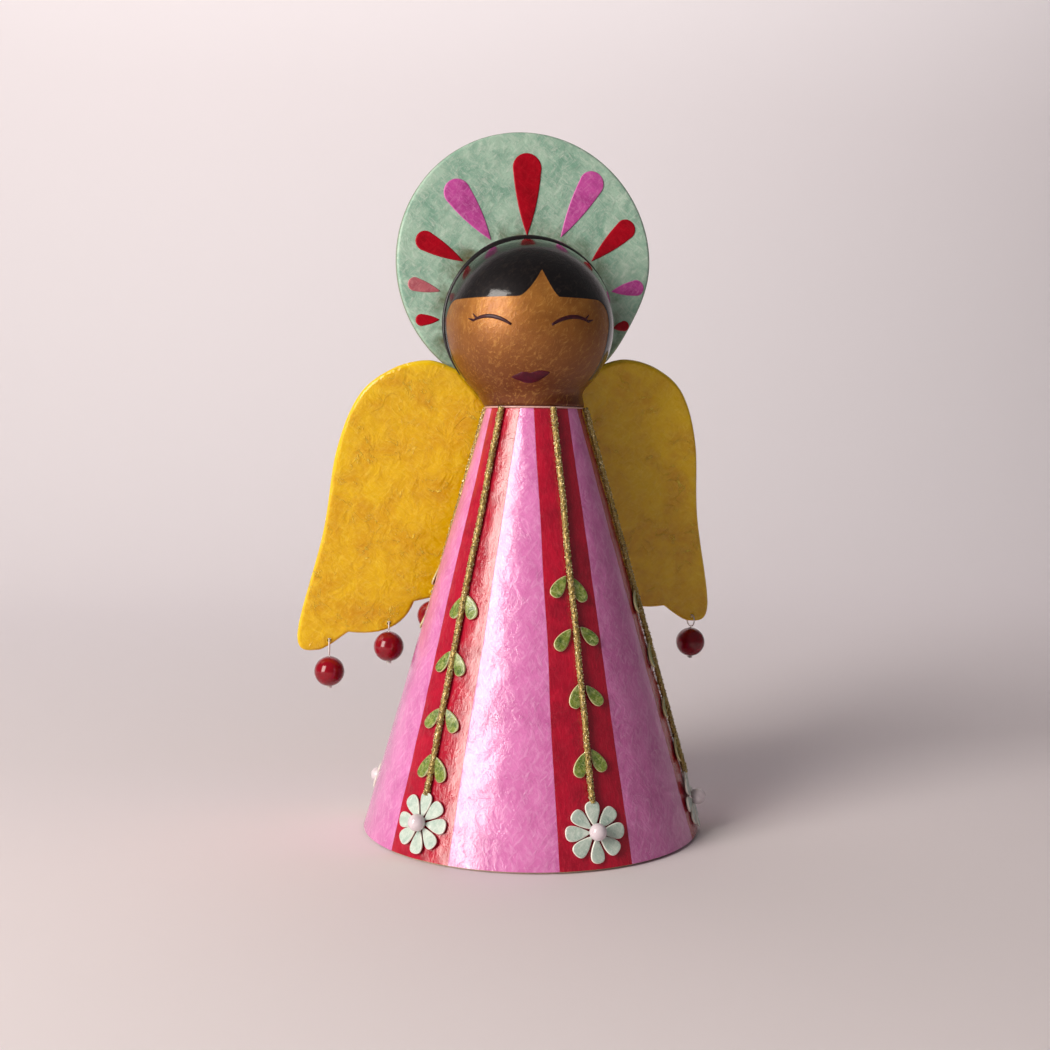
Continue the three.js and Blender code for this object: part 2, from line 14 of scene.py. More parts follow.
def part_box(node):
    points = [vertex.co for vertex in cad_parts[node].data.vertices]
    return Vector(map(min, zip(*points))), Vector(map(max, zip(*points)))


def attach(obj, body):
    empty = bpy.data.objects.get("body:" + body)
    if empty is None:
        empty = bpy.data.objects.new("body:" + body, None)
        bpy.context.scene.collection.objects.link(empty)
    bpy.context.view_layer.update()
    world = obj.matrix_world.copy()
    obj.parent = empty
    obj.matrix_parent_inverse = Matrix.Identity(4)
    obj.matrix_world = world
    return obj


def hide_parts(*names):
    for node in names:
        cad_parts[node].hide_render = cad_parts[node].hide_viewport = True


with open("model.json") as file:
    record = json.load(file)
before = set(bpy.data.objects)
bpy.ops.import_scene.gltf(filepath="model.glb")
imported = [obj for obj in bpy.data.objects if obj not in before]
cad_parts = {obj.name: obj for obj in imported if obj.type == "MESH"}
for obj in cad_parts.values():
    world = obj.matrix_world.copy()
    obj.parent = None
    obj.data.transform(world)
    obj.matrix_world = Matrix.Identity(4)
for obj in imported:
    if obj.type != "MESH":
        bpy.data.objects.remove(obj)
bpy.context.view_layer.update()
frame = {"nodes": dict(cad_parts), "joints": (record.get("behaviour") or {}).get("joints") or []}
MM = 0.001
TOPPER = "topper"

# Plates: how points lie along the rounded edge and across the field, as shares of a step or of the edge
EDGE_SPACING = 0.6
ROW_SPACING = 0.866
EDGE_DEPTHS = (0.08, 0.25, 0.5, 0.75, 1.0)
EDGE_SLACK = 0.92
FIELD_INSET = 1.25
HOLE_CLEARANCE = 0.25
HOLE_ROUND = 0.3
ON_RIM = 1e-4
WELD = 1e-5

# Dress
DRESS_BASE_R = 67.6
DRESS_TOP_R = 19.0
DRESS_HEIGHT = 168.4
PANEL_THICK = 1.0
PANEL_HEM = 0.8
PANEL_TOP_GAP = 0.3
PANEL_ROWS = 104
PANEL_COLUMNS = 24
PANEL_EDGE_STEPS = [0.0, 0.03, 0.12, 0.5]
PANEL_MAP_PITCH = 40.0
SEAM_ROUND = 0.3
SEAM_DIP = 0.02
SEAM_WOBBLE = 0.5
SEAM_WOBBLE_LENGTH = 38.0
VENEER_WAVE = 0.2
VENEER_WAVE_LENGTH = 9.0
VENEER_WAVE_LAYERS = 3
LEAN = (DRESS_BASE_R - DRESS_TOP_R) / DRESS_HEIGHT
SLANT = cos(atan(LEAN))

# Stripes and vines
STRIPE_TURNS = [9, 69, 126, 183, 240, 309]
STRIPES = len(STRIPE_TURNS)
RED_TOP_WIDTH = 14.4
RED_BASE_WIDTH = 28.8
CORD_R = 1.0
CORD_OUT = 1.35
CORD_LAY = 3.0
CORD_STRANDS = 4
CORD_STRAND_DEPTH = 0.07
CORD_STEP = 0.35
CORD_TOP_INSET = 0.8
CORD_WANDER = 0.45
CORD_WANDER_LENGTH = 26.0
CORD_PATH_STEPS = 48
CORD_FOOT_LAP = 1.0
GRAIN_SIZE = 0.42
GRAINS_PER_MM2 = 2.2
GRAIN_LEAST = (0.5, 0.5, 0.3)
GRAIN_MOST = (1.3, 1.1, 0.6)
LEAF_PAIR_RISES = [[0.617, 0.508, 0.387, 0.248], [0.569, 0.445, 0.322, 0.223]]
LEAF_LENGTH = 9.8
LEAF_WIDTH = 5.2
LEAF_THICK = 0.9
LEAF_SWELL = (0.3, 1.05, 1.5)
LEAF_DROOP = 60.0
LEAF_STALK = 2.9
LEAF_LIFT = 0.75
LEAF_CUP = 0.5
LEAF_TURN_SPREAD = 13.0
LEAF_RISE_SPREAD = 0.5
LEAF_TILT_SPREAD = 14.0
LEAF_SIZE_SPREAD = 0.14

# Flowers
FLOWER_HEIGHT = 13.4
FLOWER_R = 11.4
PETALS = 8
PETAL_WIDTH = 6.1
PETAL_INNER_R = 1.6
PETAL_THICK = 0.9
PETAL_SWELL = (0.48, 0.92, 1.55)
PETAL_CUP_LENGTH = 1.1 * FLOWER_R
PETAL_LIFT = 1.0
PETAL_TURN_SPREAD = 3.5
PETAL_TILT_SPREAD = 5.0
PETAL_SIZE_SPREAD = 0.08
PETAL_CUP = 0.5
CHIP_ROUND = 0.5
CHIP_STEP = 0.8
EGG_STEPS = 14
PEARL_R = 3.2
PEARL_OUT = 3.6
PEARL_FLAT_OUT = 1.5
PEARL_ROWS = 18
PEARL_SIDES = 32

# Head and neck
HEAD_R = 33.5
HEAD_RISE = 32.3
HEAD_SHIFT = -2.5
HEAD_MIDDLE = Vector((HEAD_SHIFT, 0, DRESS_HEIGHT + HEAD_RISE))
HEAD_COLUMNS = 260
HEAD_ROWS = 170
HEAD_ARC_STEPS = 90
HEAD_FOOT_SHARE = 0.96
FACE_TURN = -10.3
FACE_HALF_WIDTH = 41.0
FACE_SIDE_SHIFT = -3.0
FACE_CORNER = 9.0
FRINGE_RISE = 8.4
PARTING_RISE = 20.3
PARTING_PEAK = 4.7
PARTING_LEFT = 9.8
PARTING_RIGHT = 6.4
PARTING_FLARE = 1.5
HAIR_RELIEF = 0.2
HAIR_EDGE = 0.5
HAIR_FOOT_RISE = -24.0
WELL_INSIDE = 10.0
EYE_MIDDLE = 15.9
EYE_HALF_WIDTH = 8.2
EYE_RISE = 1.05
EYE_DROOP = 2.4
EYE_SLANT = 0.85
EYE_STROKE = 0.78
LID_STEPS = 24
LASH_STROKE = 0.42
LASH_STEPS = 6
LASHES = [((8.0, -0.2), (10.4, 0.5)), ((6.2, 0.4), (8.1, 2.3))]
STROKE_SIDES = 8
STROKE_PRESS = 0.62
STROKE_PROUD = 0.04
LIP_RISE = -22.8
LIP_RELIEF = 0.3
LIP_ROUND = 1.6
LIP_STEP = 0.7
LIP_BACK = -0.1
UPPER_LIP = [
    (-7.3, -0.6), (-5.2, 0.9), (-3.2, 1.9), (-1.4, 1.9), (-0.2, 1.5), (1.2, 2.0), (3.2, 2.6),
    (5.6, 2.4), (7.4, 1.7),
]
LOWER_LIP = [(5.2, -0.6), (2.8, -2.5), (0.4, -3.4), (-2.0, -3.3), (-4.6, -2.1)]
NECK_R = 19.9
NECK_HEIGHT = 13.5
NECK_FILLET = 3.6
NECK_GAP = 0.2
NECK_LAP = 0.12
NECK_DISH = 1.0
NECK_ROWS = 16
NECK_SIDES = 120
SEAM_BEAD_R = 0.38
SEAM_BEAD_REACH = 19.5
SEAM_BEAD_DROP = 0.3

# Halo
HALO_R = 53.0
HALO_RISE = 58.4
HALO_SHIFT = -0.5
HALO_FRONT = 16.0
HALO_THICK = 3.6
HALO_ROUND = 1.3
HALO_FOOT_RISE = 13.0
HALO_WAVE = 0.1
HALO_WAVE_LENGTH = 9.0
HALO_STEP = 2.2
HALO_ARC_STEPS = 150
HALO_SEAT_LAP = 0.4
HALO_FLAT_TURN = -28.0
HALO_FLAT_SPREAD = 20.0
HALO_FLAT_DEPTH = 2.2
DROP_PROUD = 0.35
DROP_THICK = 1.2
DROP_BULGE = 0.16
DROP_ROUND = 0.5
DROP_STEP = 1.0
DROP_ARC_STEPS = 26
DROP_FLANK_STEPS = 8
HAIR_RIM_R = 0.85
HAIR_RIM_CROWN = 1.5
HAIR_RIM_CROWN_TURN = 60.0
HAIR_RIM_PROUD = 0.25
HAIR_RIM_BACK = 2.0
HAIR_RIM_DIP = 36.0
HAIR_RIM_SIDES = 14

# Each drop: tip, round end and width in halo radii, right of and above the halo's middle
HALO_DROPS = {
    "top": ("red", (0.007, 0.208), (0.002, 0.840), 0.228),
    "left_2": ("magenta", (-0.270, 0.166), (-0.600, 0.602), 0.212),
    "left_3": ("red", (-0.481, 0.0), (-0.848, 0.181), 0.155),
    "left_4": ("rose", (-0.655, -0.230), (-0.911, -0.167), 0.108),
    "left_5": ("red", (-0.663, -0.442), (-0.853, -0.450), 0.094),
    "right_2": ("magenta", (0.268, 0.205), (0.562, 0.715), 0.197),
    "right_3": ("red", (0.513, 0.032), (0.848, 0.345), 0.159),
    "right_4": ("magenta", (0.676, -0.192), (0.943, -0.147), 0.125),
    "right_5": ("red", (0.700, -0.474), (0.828, -0.446), 0.083),
}

# Wings: outline points as distance out and drop below the wing's top
WING_THICK = 3.6
WING_ROUND = 1.7
WING_WAVE = 0.45
WING_WAVE_LENGTH = 9.0
WING_STEP = 2.0
WING_CURVE_STEPS = 12
WING_SWEEP = 6.0
WING_ROOT_INSET = 5.0
ROOT_DEPTH = 0.7
ROOT_SPLAY = 0.05
WING_LENGTH = 122.0
WING_ROOT = (8.5, 26.0)
WING_UPPER_EDGE = [
    (29.0, 3.6), (41.0, 0.0), (55.5, 3.6), (68.5, 14.5), (76.9, 37.0), (81.6, 71.0),
    (91.6, 115.0), (83.0, WING_LENGTH), (70.0, 114.0),
]
WING_LOBE = [(48.0, 117.0), (42.5, 100.5)]
WING_INNER_FOOT = [(30.0, 97.5), (8.5, 97.5)]
WINGS = {"left": (-1, 18.5, WING_LENGTH), "right": (1, 20.4, 114.0)}
BEADS_PER_WING = 3
HOLE_R = 0.9
HOLE_SIDES = 12

# Beads and threads
BEAD_R = 6.4
BEAD_MOUTH_R = 0.95
BEAD_ROWS = 40
BEAD_SIDES = 48
BEAD_WELL = 1.1
THREAD_R = 0.28
LOOP_REACH = 3.7
LOOP_SHAPE = [(0.72, 0.03), (1.0, 0.28), (0.95, 0.68), (0.5, 0.94)]
KNOT_SIZE = 0.34
KNOT_DROP = 0.35
KNOT_POINTS = 60

# Camera: where it stands, its pitch, turn and roll in degrees, and a lens for a 36 mm wide sensor
CAMERA_PLACE = (-119.65, -547.1, 157.3)
CAMERA_PITCH = 3.68
CAMERA_TURN = 12.0
CAMERA_ROLL = 0.5
CAMERA_LENS = 48.0
CAMERA_SENSOR = 36.0

# Studio, in metres: a sheet that curves from floor to wall, and two lamps
FLOOR_FRONT = -3.0
FLOOR_BACK = 0.7
FLOOR_DROP = 0.0002
COVE_R = 0.6
COVE_STEPS = 12
WALL_TOP = 3.0
SHEET_HALF_WIDTH = 4.0
LAMP_AIM = (0.0, 0.0, 0.14)
KEY_AZIMUTH = -58.0
KEY_ELEVATION = 20.0
KEY_REACH = 1.3
KEY_SIZE = (0.62, 1.0)
KEY_POWER = 22.0
WALL_LAMP_PLACE = (0.0, 0.5, 1.5)
WALL_LAMP_BACK = (0.0, -0.97, 0.24)
WALL_LAMP_SIZE = (2.4, 0.4)
WALL_LAMP_POWER = 17.0


def linear(hex_colour):
    """An sRGB hex colour as linear RGBA."""
    parts = [int(hex_colour[i:i + 2], 16) / 255 for i in (1, 3, 5)]
    return tuple(c / 12.92 if c <= 0.04045 else ((c + 0.055) / 1.055) ** 2.4 for c in parts) + (1.0,)


def in_metres(points):
    return [tuple(c * MM for c in p) for p in points]


def linked(name, data):
    """A new object in the scene."""
    item = bpy.data.objects.new(name, data)
    bpy.context.scene.collection.objects.link(item)
    return item


def add(tree, kind, inputs=None, **settings):
    """Adds a node with its settings; an input is a value or the socket that feeds it."""
    node = tree.nodes.new(kind)
    for name, value in settings.items():
        setattr(node, name, value)
    for key, value in (inputs or {}).items():
        if isinstance(value, bpy.types.NodeSocket):
            tree.links.new(value, node.inputs[key])
        else:
            node.inputs[key].default_value = value
    return node


def feed(tree, kind, inputs=None, out=0, **settings):
    """Adds a node and gives one of its outputs."""
    return add(tree, kind, inputs, **settings).outputs[out]


def compute(tree, operation, *values, clamp=False):
    return feed(tree, "ShaderNodeMath", dict(enumerate(values)), operation=operation, use_clamp=clamp)


def clouds(tree, place, size_mm, detail=2.0, rough=0.5, warp=0.0):
    """Noise in which one feature spans about the given size."""
    return feed(tree, "ShaderNodeTexNoise", {
        "Vector": place, "Scale": 1 / (size_mm * MM), "Detail": detail, "Roughness": rough,
        "Distortion": warp})


def ramp(tree, value, low=0.0, high=1.0, start=0.0, end=1.0, smooth=False):
    """Carries what lies between low and high to between start and end."""
    return feed(tree, "ShaderNodeMapRange", {
        "Value": value, "From Min": low, "From Max": high, "To Min": start, "To Max": end},
        interpolation_type="SMOOTHSTEP" if smooth else "LINEAR")


def blend(tree, share, first, second):
    """A mix of two colours, each a hex colour or a socket."""
    first, second = (linear(c) if isinstance(c, str) else c for c in (first, second))
    return feed(tree, "ShaderNodeMix", {0: share, 6: first, 7: second}, 2, data_type="RGBA")


def relief(tree, strength, depth_mm, height):
    return feed(tree, "ShaderNodeBump", {"Strength": strength, "Distance": depth_mm * MM, "Height": height})


def painted_value(tree, name):
    """A value that the mesh carries at its points."""
    return feed(tree, "ShaderNodeAttribute", out="Fac", attribute_name=name)


def new_material(name, space="Object"):
    """An empty material with its tree and the place of a point in it."""
    material = bpy.data.materials.new(name)
    material.use_nodes = True
    tree = material.node_tree
    tree.nodes.clear()
    return material, tree, feed(tree, "ShaderNodeTexCoord", out=space)


def finished(material, inputs):
    """Ends a material with its shader."""
    shader = feed(material.node_tree, "ShaderNodeBsdfPrincipled", inputs)
    add(material.node_tree, "ShaderNodeOutputMaterial", {"Surface": shader})
    return material


def crossed_fibres(tree, place, size_mm, draw, turns, on_map=False):
    """Fine fibres that lie in two directions of a sheet, each drawn out along its own."""
    layers = []
    for turn in turns:
        laid = feed(tree, "ShaderNodeMapping", {
            "Vector": place, "Rotation": (0.0, 0.0, turn) if on_map else (0.0, turn, 0.0),
            "Scale": (1.0, draw, 1.0) if on_map else (1.0, 1.0, draw)}, vector_type="TEXTURE")
        layers.append(clouds(tree, laid, size_mm, 5.0, 0.66, 0.6))
    return compute(tree, "MAXIMUM", *layers)


def shell_veneer(name, colours, cloud_mm, fibre_mm, relief_mm, rim_mm=0.4, mottle=0.7, coat=0.4,
                 gloss=0.2, coat_ior=1.5, crumple=0.4, nap=1.0, crease_glint_and_relief=0.3, turns=(0.7, -0.9),
                 on_map=False, darkening=None):
    """Dyed shell veneer under clear lacquer: cloudy dye with pale fibres, patches of fine creases drawn
    pale as a painted highlight, a tinted cut edge and a smooth wet-looking coat."""
    dye, dark, pale, rim = colours
    material, tree, place = new_material(name, "UV" if on_map else "Object")
    cloud = clouds(tree, place, cloud_mm, 5.0, 0.6, 0.5)
    fibre = crossed_fibres(tree, place, fibre_mm, 3.2, turns, on_map)
    fold = clouds(tree, place, fibre_mm * 6, 4.0, 0.55, 0.7)
    # A crease runs where the folds pass their middle level, and only in the patches that are crumpled
    level = compute(tree, "ABSOLUTE", compute(tree, "SUBTRACT", fold, 0.5))
    ridge = ramp(tree, level, 0.0, 0.012, 1.0, 0.0, smooth=True)
    crease = compute(tree, "MULTIPLY", ridge, ramp(tree, cloud, 0.5, 0.62))
    shade = ramp(tree, cloud, 0.38, 0.66)
    light = ramp(tree, fibre, 0.5, 0.74, 0.0, mottle)
    # Pale fibres, and the crease lines painted pale: a painted highlight where the creases would catch the
    # light
    worn = compute(tree, "MULTIPLY_ADD", crease, crease_glint_and_relief, light, clamp=True)
    colour = blend(tree, worn, blend(tree, shade, dye, dark), pale)
    # Darker brown close to a given point, patchy with the clouds; on the halo it rings the head, most to
    # its upper right
    if darkening:
        darkening_colour, middle, near, far = darkening
        reach = feed(tree, "ShaderNodeVectorMath", {0: place, 1: middle}, "Value", operation="DISTANCE")
        close = ramp(tree, reach, far * MM, near * MM)
        colour = blend(tree, compute(tree, "MULTIPLY", close, shade), colour, darkening_colour)
    near_edge = ramp(tree, painted_value(tree, "rim"), rim_mm, rim_mm * 0.3, smooth=True)
    grain = compute(tree, "MULTIPLY_ADD", fold, 2.0, compute(tree, "MULTIPLY", fibre, nap))
    height = compute(tree, "MULTIPLY_ADD", crease, crease_glint_and_relief, grain)
    return finished(material, {
        "Base Color": blend(tree, near_edge, colour, rim), "Specular IOR Level": 0.05,
        "Roughness": ramp(tree, fibre, 0.3, 0.7, 0.3, 0.5), "Normal": relief(tree, 0.8, relief_mm, height),
        "Coat Weight": coat, "Coat Roughness": gloss, "Coat IOR": coat_ior,
        "Coat Normal": relief(tree, crumple, relief_mm, height)})


def head_paint():
    """Bronze paint dabbed on a turned ball, black painted hair, all under gloss lacquer:
    golden flecks on the skin and a mirror gloss on the hair."""
    material, tree, place = new_material("bronze_and_black_gloss_paint")
    stroke = crossed_fibres(tree, place, 1.4, 2.8, (0.95, 0.5))
    fleck = ramp(tree, stroke, 0.55, 0.96)
    dusk = ramp(tree, clouds(tree, place, 11.0, 4.0, 0.55, 0.6), 0.36, 0.68, 0.0, 0.7)
    # Painted light and shade: the skin is golden on the forehead, where the light falls, and deep brown
    # toward the chin
    height = feed(tree, "ShaderNodeSeparateXYZ", {0: place}, "Z")
    rise = ramp(tree, height, (DRESS_HEIGHT + 2) * MM, (DRESS_HEIGHT + HEAD_RISE + 16) * MM)
    dusky = blend(tree, dusk, blend(tree, rise, "#5E2812", "#B67A36"), "#7C4820")
    # Golden flecks on the skin and pale streaks in the black hair are brush strokes drawn bright enough to
    # stand in for their glints: partly painted highlight
    skin = blend(tree, fleck, dusky, "#E2AC5C")
    hair_streaks_and_sheen = blend(tree, fleck, "#120D0F", "#43372F")
    hair = ramp(tree, painted_value(tree, "hair"), -0.12, 0.12)
    ease = ramp(tree, hair, start=0.8, end=0.14)
    return finished(material, {
        "Base Color": blend(tree, hair, skin, hair_streaks_and_sheen), "Metallic": 0.45, "Specular IOR Level": 0.2,
        "Roughness": ramp(tree, stroke, start=0.34, end=0.54), "Normal": relief(tree, 0.7, 0.3, stroke),
        "Coat Weight": ramp(tree, hair, start=0.4, end=1.0),
        "Coat Roughness": ramp(tree, hair, start=0.14, end=0.04), "Coat IOR": 1.4,
        "Coat Normal": relief(tree, ease, 0.3, stroke)})


def gloss_paint(name, colour, worn, coat):
    """Brushed enamel: one colour that thins a little, with brush lines under a gloss."""
    material, tree, place = new_material(name)
    thin = clouds(tree, place, 1.4, 4.0, 0.6)
    return finished(material, {
        "Base Color": blend(tree, ramp(tree, thin, 0.45, 0.75), colour, worn), "Roughness": 0.4,
        "Normal": relief(tree, 0.3, 0.05, thin), "Specular IOR Level": 0.2, "Coat Weight": coat,
        "Coat Roughness": 0.12})


def pearl_coat(name, colour, cloud):
    """Pearl lacquer on a moulded bead: soft clouds of tint under a clear coat with a soft glint."""
    material, tree, place = new_material(name)
    mist = clouds(tree, place, 4.5, 3.0, 0.5, 0.8)
    return finished(material, {
        "Base Color": blend(tree, ramp(tree, mist, 0.38, 0.68), colour, cloud),
        "Roughness": ramp(tree, mist, start=0.2, end=0.34), "Specular IOR Level": 0.06,
        "Coat Weight": 0.8, "Coat Roughness": 0.05})


def glitter_gold(name, metallic, colours):
    """Gold glitter thread or grains, each grain or strand in its own shade: the palest stand in for glints,
    a painted highlight.
    """
    dark, gold, glint_tint = colours
    material, tree, place = new_material(name)
    island = feed(tree, "ShaderNodeNewGeometry", out="Random Per Island")
    grain = compute(tree, "ADD", island, clouds(tree, place, 0.6, 3.0, 0.7))
    base = blend(tree, ramp(tree, grain, 0.7, 0.9), dark, gold)
    tint = blend(tree, ramp(tree, grain, 1.15, 1.35), base, glint_tint)
    return finished(material, {"Base Color": tint, "Roughness": 0.34, "Metallic": metallic})


def nylon_thread():
    """Drawn nylon thread, milky white with a low gloss."""
    material, tree, place = new_material("nylon_thread")
    tint = blend(tree, clouds(tree, place, 0.8), "#F2F0EC", "#CFC9C2")
    return finished(material, {"Base Color": tint, "Roughness": 0.3})


def rolled_card():
    """Grey-brown card: short fibres and a dull uncoated face."""
    material, tree, place = new_material("rolled_card")
    fibre = clouds(tree, place, 1.1, 6.0, 0.75, 0.9)
    return finished(material, {
        "Base Color": blend(tree, fibre, "#B49F80", "#D8C7AA"), "Roughness": 0.88,
        "Normal": relief(tree, 0.4, 0.15, fibre)})


def softwood():
    """Plain softwood dowel: straight grain along its length."""
    material, tree, place = new_material("softwood")
    along = feed(tree, "ShaderNodeMapping", {"Vector": place, "Scale": (1.0, 1.0, 0.08)})
    tint = blend(tree, clouds(tree, along, 0.9, 5.0, 0.6), "#A97F4C", "#D2AC78")
    return finished(material, {"Base Color": tint, "Roughness": 0.7})


def build_mesh(name, vertices, faces, uv=None, **fields):
    """A smooth-shaded mesh from points in millimetres, with its flat map and the fields at its points."""
    mesh = bpy.data.meshes.new(name)
    mesh.from_pydata(in_metres(vertices), [], [tuple(f) for f in faces])
    mesh.polygons.foreach_set("use_smooth", [True] * len(mesh.polygons))
    for label, values in fields.items():
        attribute = mesh.attributes.new(label, "FLOAT", "POINT")
        attribute.data.foreach_set("value", np.asarray(values, np.float32))
    if uv is not None:
        layer = mesh.uv_layers.new(name="laid_flat")
        corners = np.empty(len(mesh.loops), np.int32)
        mesh.loops.foreach_get("vertex_index", corners)
        flat = np.asarray(uv, np.float32)[corners] * MM
        layer.data.foreach_set("uv", flat.ravel())
    mesh.update()
    return mesh


def place_piece(name, mesh, finish=None, body=TOPPER, nodes=()):
    """Puts a mesh in the scene on its body, in the place of the nodes that it stands for."""
    if finish:
        mesh.materials.clear()
        mesh.materials.append(FINISHES[finish])
    piece = linked(name, mesh)
    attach(piece, body)
    if nodes:
        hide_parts(*nodes)


def merged(mesh_list, name):
    """Several meshes as one, with their attributes."""
    objects = [linked(name, mesh) for mesh in mesh_list]
    with bpy.context.temp_override(active_object=objects[0], selected_editable_objects=objects):
        bpy.ops.object.join()
    whole = objects[0].data
    bpy.data.objects.remove(objects[0])
    return whole


def grid_faces(rows, columns, start=0, wrap=False, flip=False):
    """Quads of a grid of points stored row by row."""
    faces = []
    for r in range(rows - 1):
        for c in range(columns if wrap else columns - 1):
            a = start + r * columns + c
            b = start + r * columns + (c + 1) % columns
            quad = (a, b, b + columns, a + columns)
            faces.append(quad[::-1] if flip else quad)
    return faces


def lathe(profile, sides, centre):
    """A turned solid about an upright axis; the profile runs from its foot to its top on the axis."""
    vertices = [(centre[0], centre[1], centre[2] + profile[0][1])]
    for r, z in profile[1:-1]:
        for c in range(sides):
            a = 2 * pi * c / sides
            vertices.append((centre[0] + r * cos(a), centre[1] + r * sin(a), centre[2] + z))
    vertices.append((centre[0], centre[1], centre[2] + profile[-1][1]))
    rings = len(profile) - 2
    faces = grid_faces(rings, sides, start=1, wrap=True)
    last = 1 + (rings - 1) * sides
    for c in range(sides):
        faces.append((0, 1 + (c + 1) % sides, 1 + c))
        faces.append((last + c, last + (c + 1) % sides, len(vertices) - 1))
    return vertices, faces


def tube(path, radius, sides=10, closed=False):
    """A round bar along a path; radius may be one size or one for each point."""
    points = [Vector(p) for p in path]
    count = len(points)
    sizes = radius if isinstance(radius, (list, tuple)) else [radius] * count
    vertices = []
    normal = None
    for i, point in enumerate(points):
        ahead = points[(i + 1) % count] if closed or i + 1 < count else point
        behind = points[i - 1] if closed or i else point
        along = (ahead - behind).normalized()
        if normal is None:
            normal = along.orthogonal()
        normal = (normal - along * normal.dot(along)).normalized()
        side = along.cross(normal)
        for c in range(sides):
            a = 2 * pi * c / sides
            vertices.append(point + (normal * cos(a) + side * sin(a)) * sizes[i])
    faces = grid_faces(count, sides, wrap=True)
    if closed:
        last = (count - 1) * sides
        turn = min(range(sides), key=lambda s: (vertices[s] - vertices[last]).length)
        for c in range(sides):
            a, b = last + c, last + (c + 1) % sides
            faces.append((a, b, (c + 1 + turn) % sides, (c + turn) % sides))
    else:
        faces.append(tuple(range(sides))[::-1])
        faces.append(tuple(range((count - 1) * sides, count * sides)))
    return [tuple(v) for v in vertices], faces


def edge_distance(points, outline):
    """How far each flat point lies from a closed outline."""
    p = np.asarray(points, float)
    a = np.asarray(outline, float)
    b = np.roll(a, -1, axis=0)
    nearest = np.full(len(p), np.inf)
    for start, end in zip(a, b):
        step = end - start
        share = np.clip(((p - start) @ step) / max(step @ step, 1e-12), 0, 1)
        nearest = np.minimum(nearest, np.linalg.norm(p - start - share[:, None] * step, axis=1))
    return nearest


def inside(points, outline):
    """Which flat points lie inside a closed outline."""
    p = np.asarray(points, float)
    a = np.asarray(outline, float)
    b = np.roll(a, -1, axis=0)
    odd = np.zeros(len(p), bool)
    for (x0, y0), (x1, y1) in zip(a, b):
        if y0 != y1:
            crosses = (y0 > p[:, 1]) != (y1 > p[:, 1])
            odd ^= crosses & (p[:, 0] < (x1 - x0) * (p[:, 1] - y0) / (y1 - y0) + x0)
    return odd


def even_steps(outline, step):
    """The same closed outline with points at even steps."""
    result = []
    for i, point in enumerate(outline):
        start, end = Vector(point), Vector(outline[(i + 1) % len(outline)])
        parts = max(1, round((end - start).length / step))
        result += [tuple(start.lerp(end, j / parts)) for j in range(parts)]
    return result


def plate_spots(outline, edge, step, holes):
    """Points inside a plate: an even field, and rings along its rounded edge."""
    low, high = np.min(outline, 0), np.max(outline, 0)
    xs = np.arange(low[0], high[0], step)
    ys = np.arange(low[1], high[1], step * ROW_SPACING)
    spots = [(x + (j % 2) * step / 2, y) for j, y in enumerate(ys) for x in xs]
    least = [edge * FIELD_INSET] * len(spots)
    for depth in EDGE_DEPTHS:
        for i, point in enumerate(outline):
            across = Vector(outline[(i + 1) % len(outline)]) - Vector(outline[i - 1])
            inward = Vector((-across.y, across.x)).normalized() * depth * edge
            spots += [tuple(Vector(point) + inward), tuple(Vector(point) - inward)]
            least += [depth * edge * EDGE_SLACK] * 2
    keep = inside(spots, outline) & (edge_distance(spots, outline) >= np.array(least))
    for hole in holes:
        keep &= ~inside(spots, hole) & (edge_distance(spots, hole) > HOLE_CLEARANCE * step)
    return [s for s, k in zip(spots, keep) if k]


def shell_plate(outline, thick, edge, step, holes=(), wave=None):
    """A flat plate with rounded edges: points across, along and through it, faces and edge distances."""
    outline = even_steps(outline, step * EDGE_SPACING)
    points, links = [], []
    for loop in [outline, *holes]:
        first = len(points)
        links += [(first + i, first + (i + 1) % len(loop)) for i in range(len(loop))]
        points += loop
    points += plate_spots(outline, edge, step, holes)
    flat, _, triangles, _, _, _ = delaunay_2d_cdt([Vector(p) for p in points], links, [], 1, WELD)
    flat = [tuple(v) for v in flat]
    middles = [np.mean([flat[i] for i in t], axis=0) for t in triangles]
    solid = np.ones(len(triangles), bool)
    away = edge_distance(flat, outline)
    for hole in holes:
        solid &= ~inside(middles, hole)
        away = np.minimum(away, edge_distance(flat, hole) + edge * HOLE_ROUND)
    swell = np.sqrt(np.clip(1 - (1 - np.minimum(away / edge, 1)) ** 2, 0, 1)) * thick / 2
    on_rim = away < ON_RIM
    vertices, rim = [], list(away)
    for i, (x, y) in enumerate(flat):
        lift = wave(x, y) if wave and not on_rim[i] else 0.0
        vertices.append((x, y, swell[i] + lift * min(1.0, away[i] / edge)))
    # The back shares the points on the rim
    behind = list(range(len(flat)))
    for i, (x, y) in enumerate(flat):
        if not on_rim[i]:
            behind[i] = len(vertices)
            vertices.append((x, y, -swell[i]))
            rim.append(away[i])
    front = [tuple(t) for t, s in zip(triangles, solid) if s]
    faces = front + [tuple(behind[i] for i in t[::-1]) for t in front]
    for hole in holes:
        near = [int(np.argmin(np.linalg.norm(np.asarray(flat) - np.asarray(h), axis=1))) for h in hole]
        faces += [(b, a, behind[a], behind[b]) for a, b in zip(near, near[1:] + near[:1])]
    return vertices, faces, rim


def drift(*place):
    """Smooth noise at a place."""
    return noise.noise(Vector(place))


def ripple(size, length, seed):
    """A gentle hand-made unevenness over a surface."""
    return lambda x, y: size * drift(x / length, y / length, seed)


def dress_radius(z):
    return DRESS_BASE_R - LEAN * z


def on_dress(azimuth, z, out):
    """A point at an azimuth from the front, a height on the dress and a distance out from its surface."""
    r = dress_radius(z) + out * SLANT
    return r * sin(azimuth), -r * cos(azimuth), z + out * LEAN * SLANT


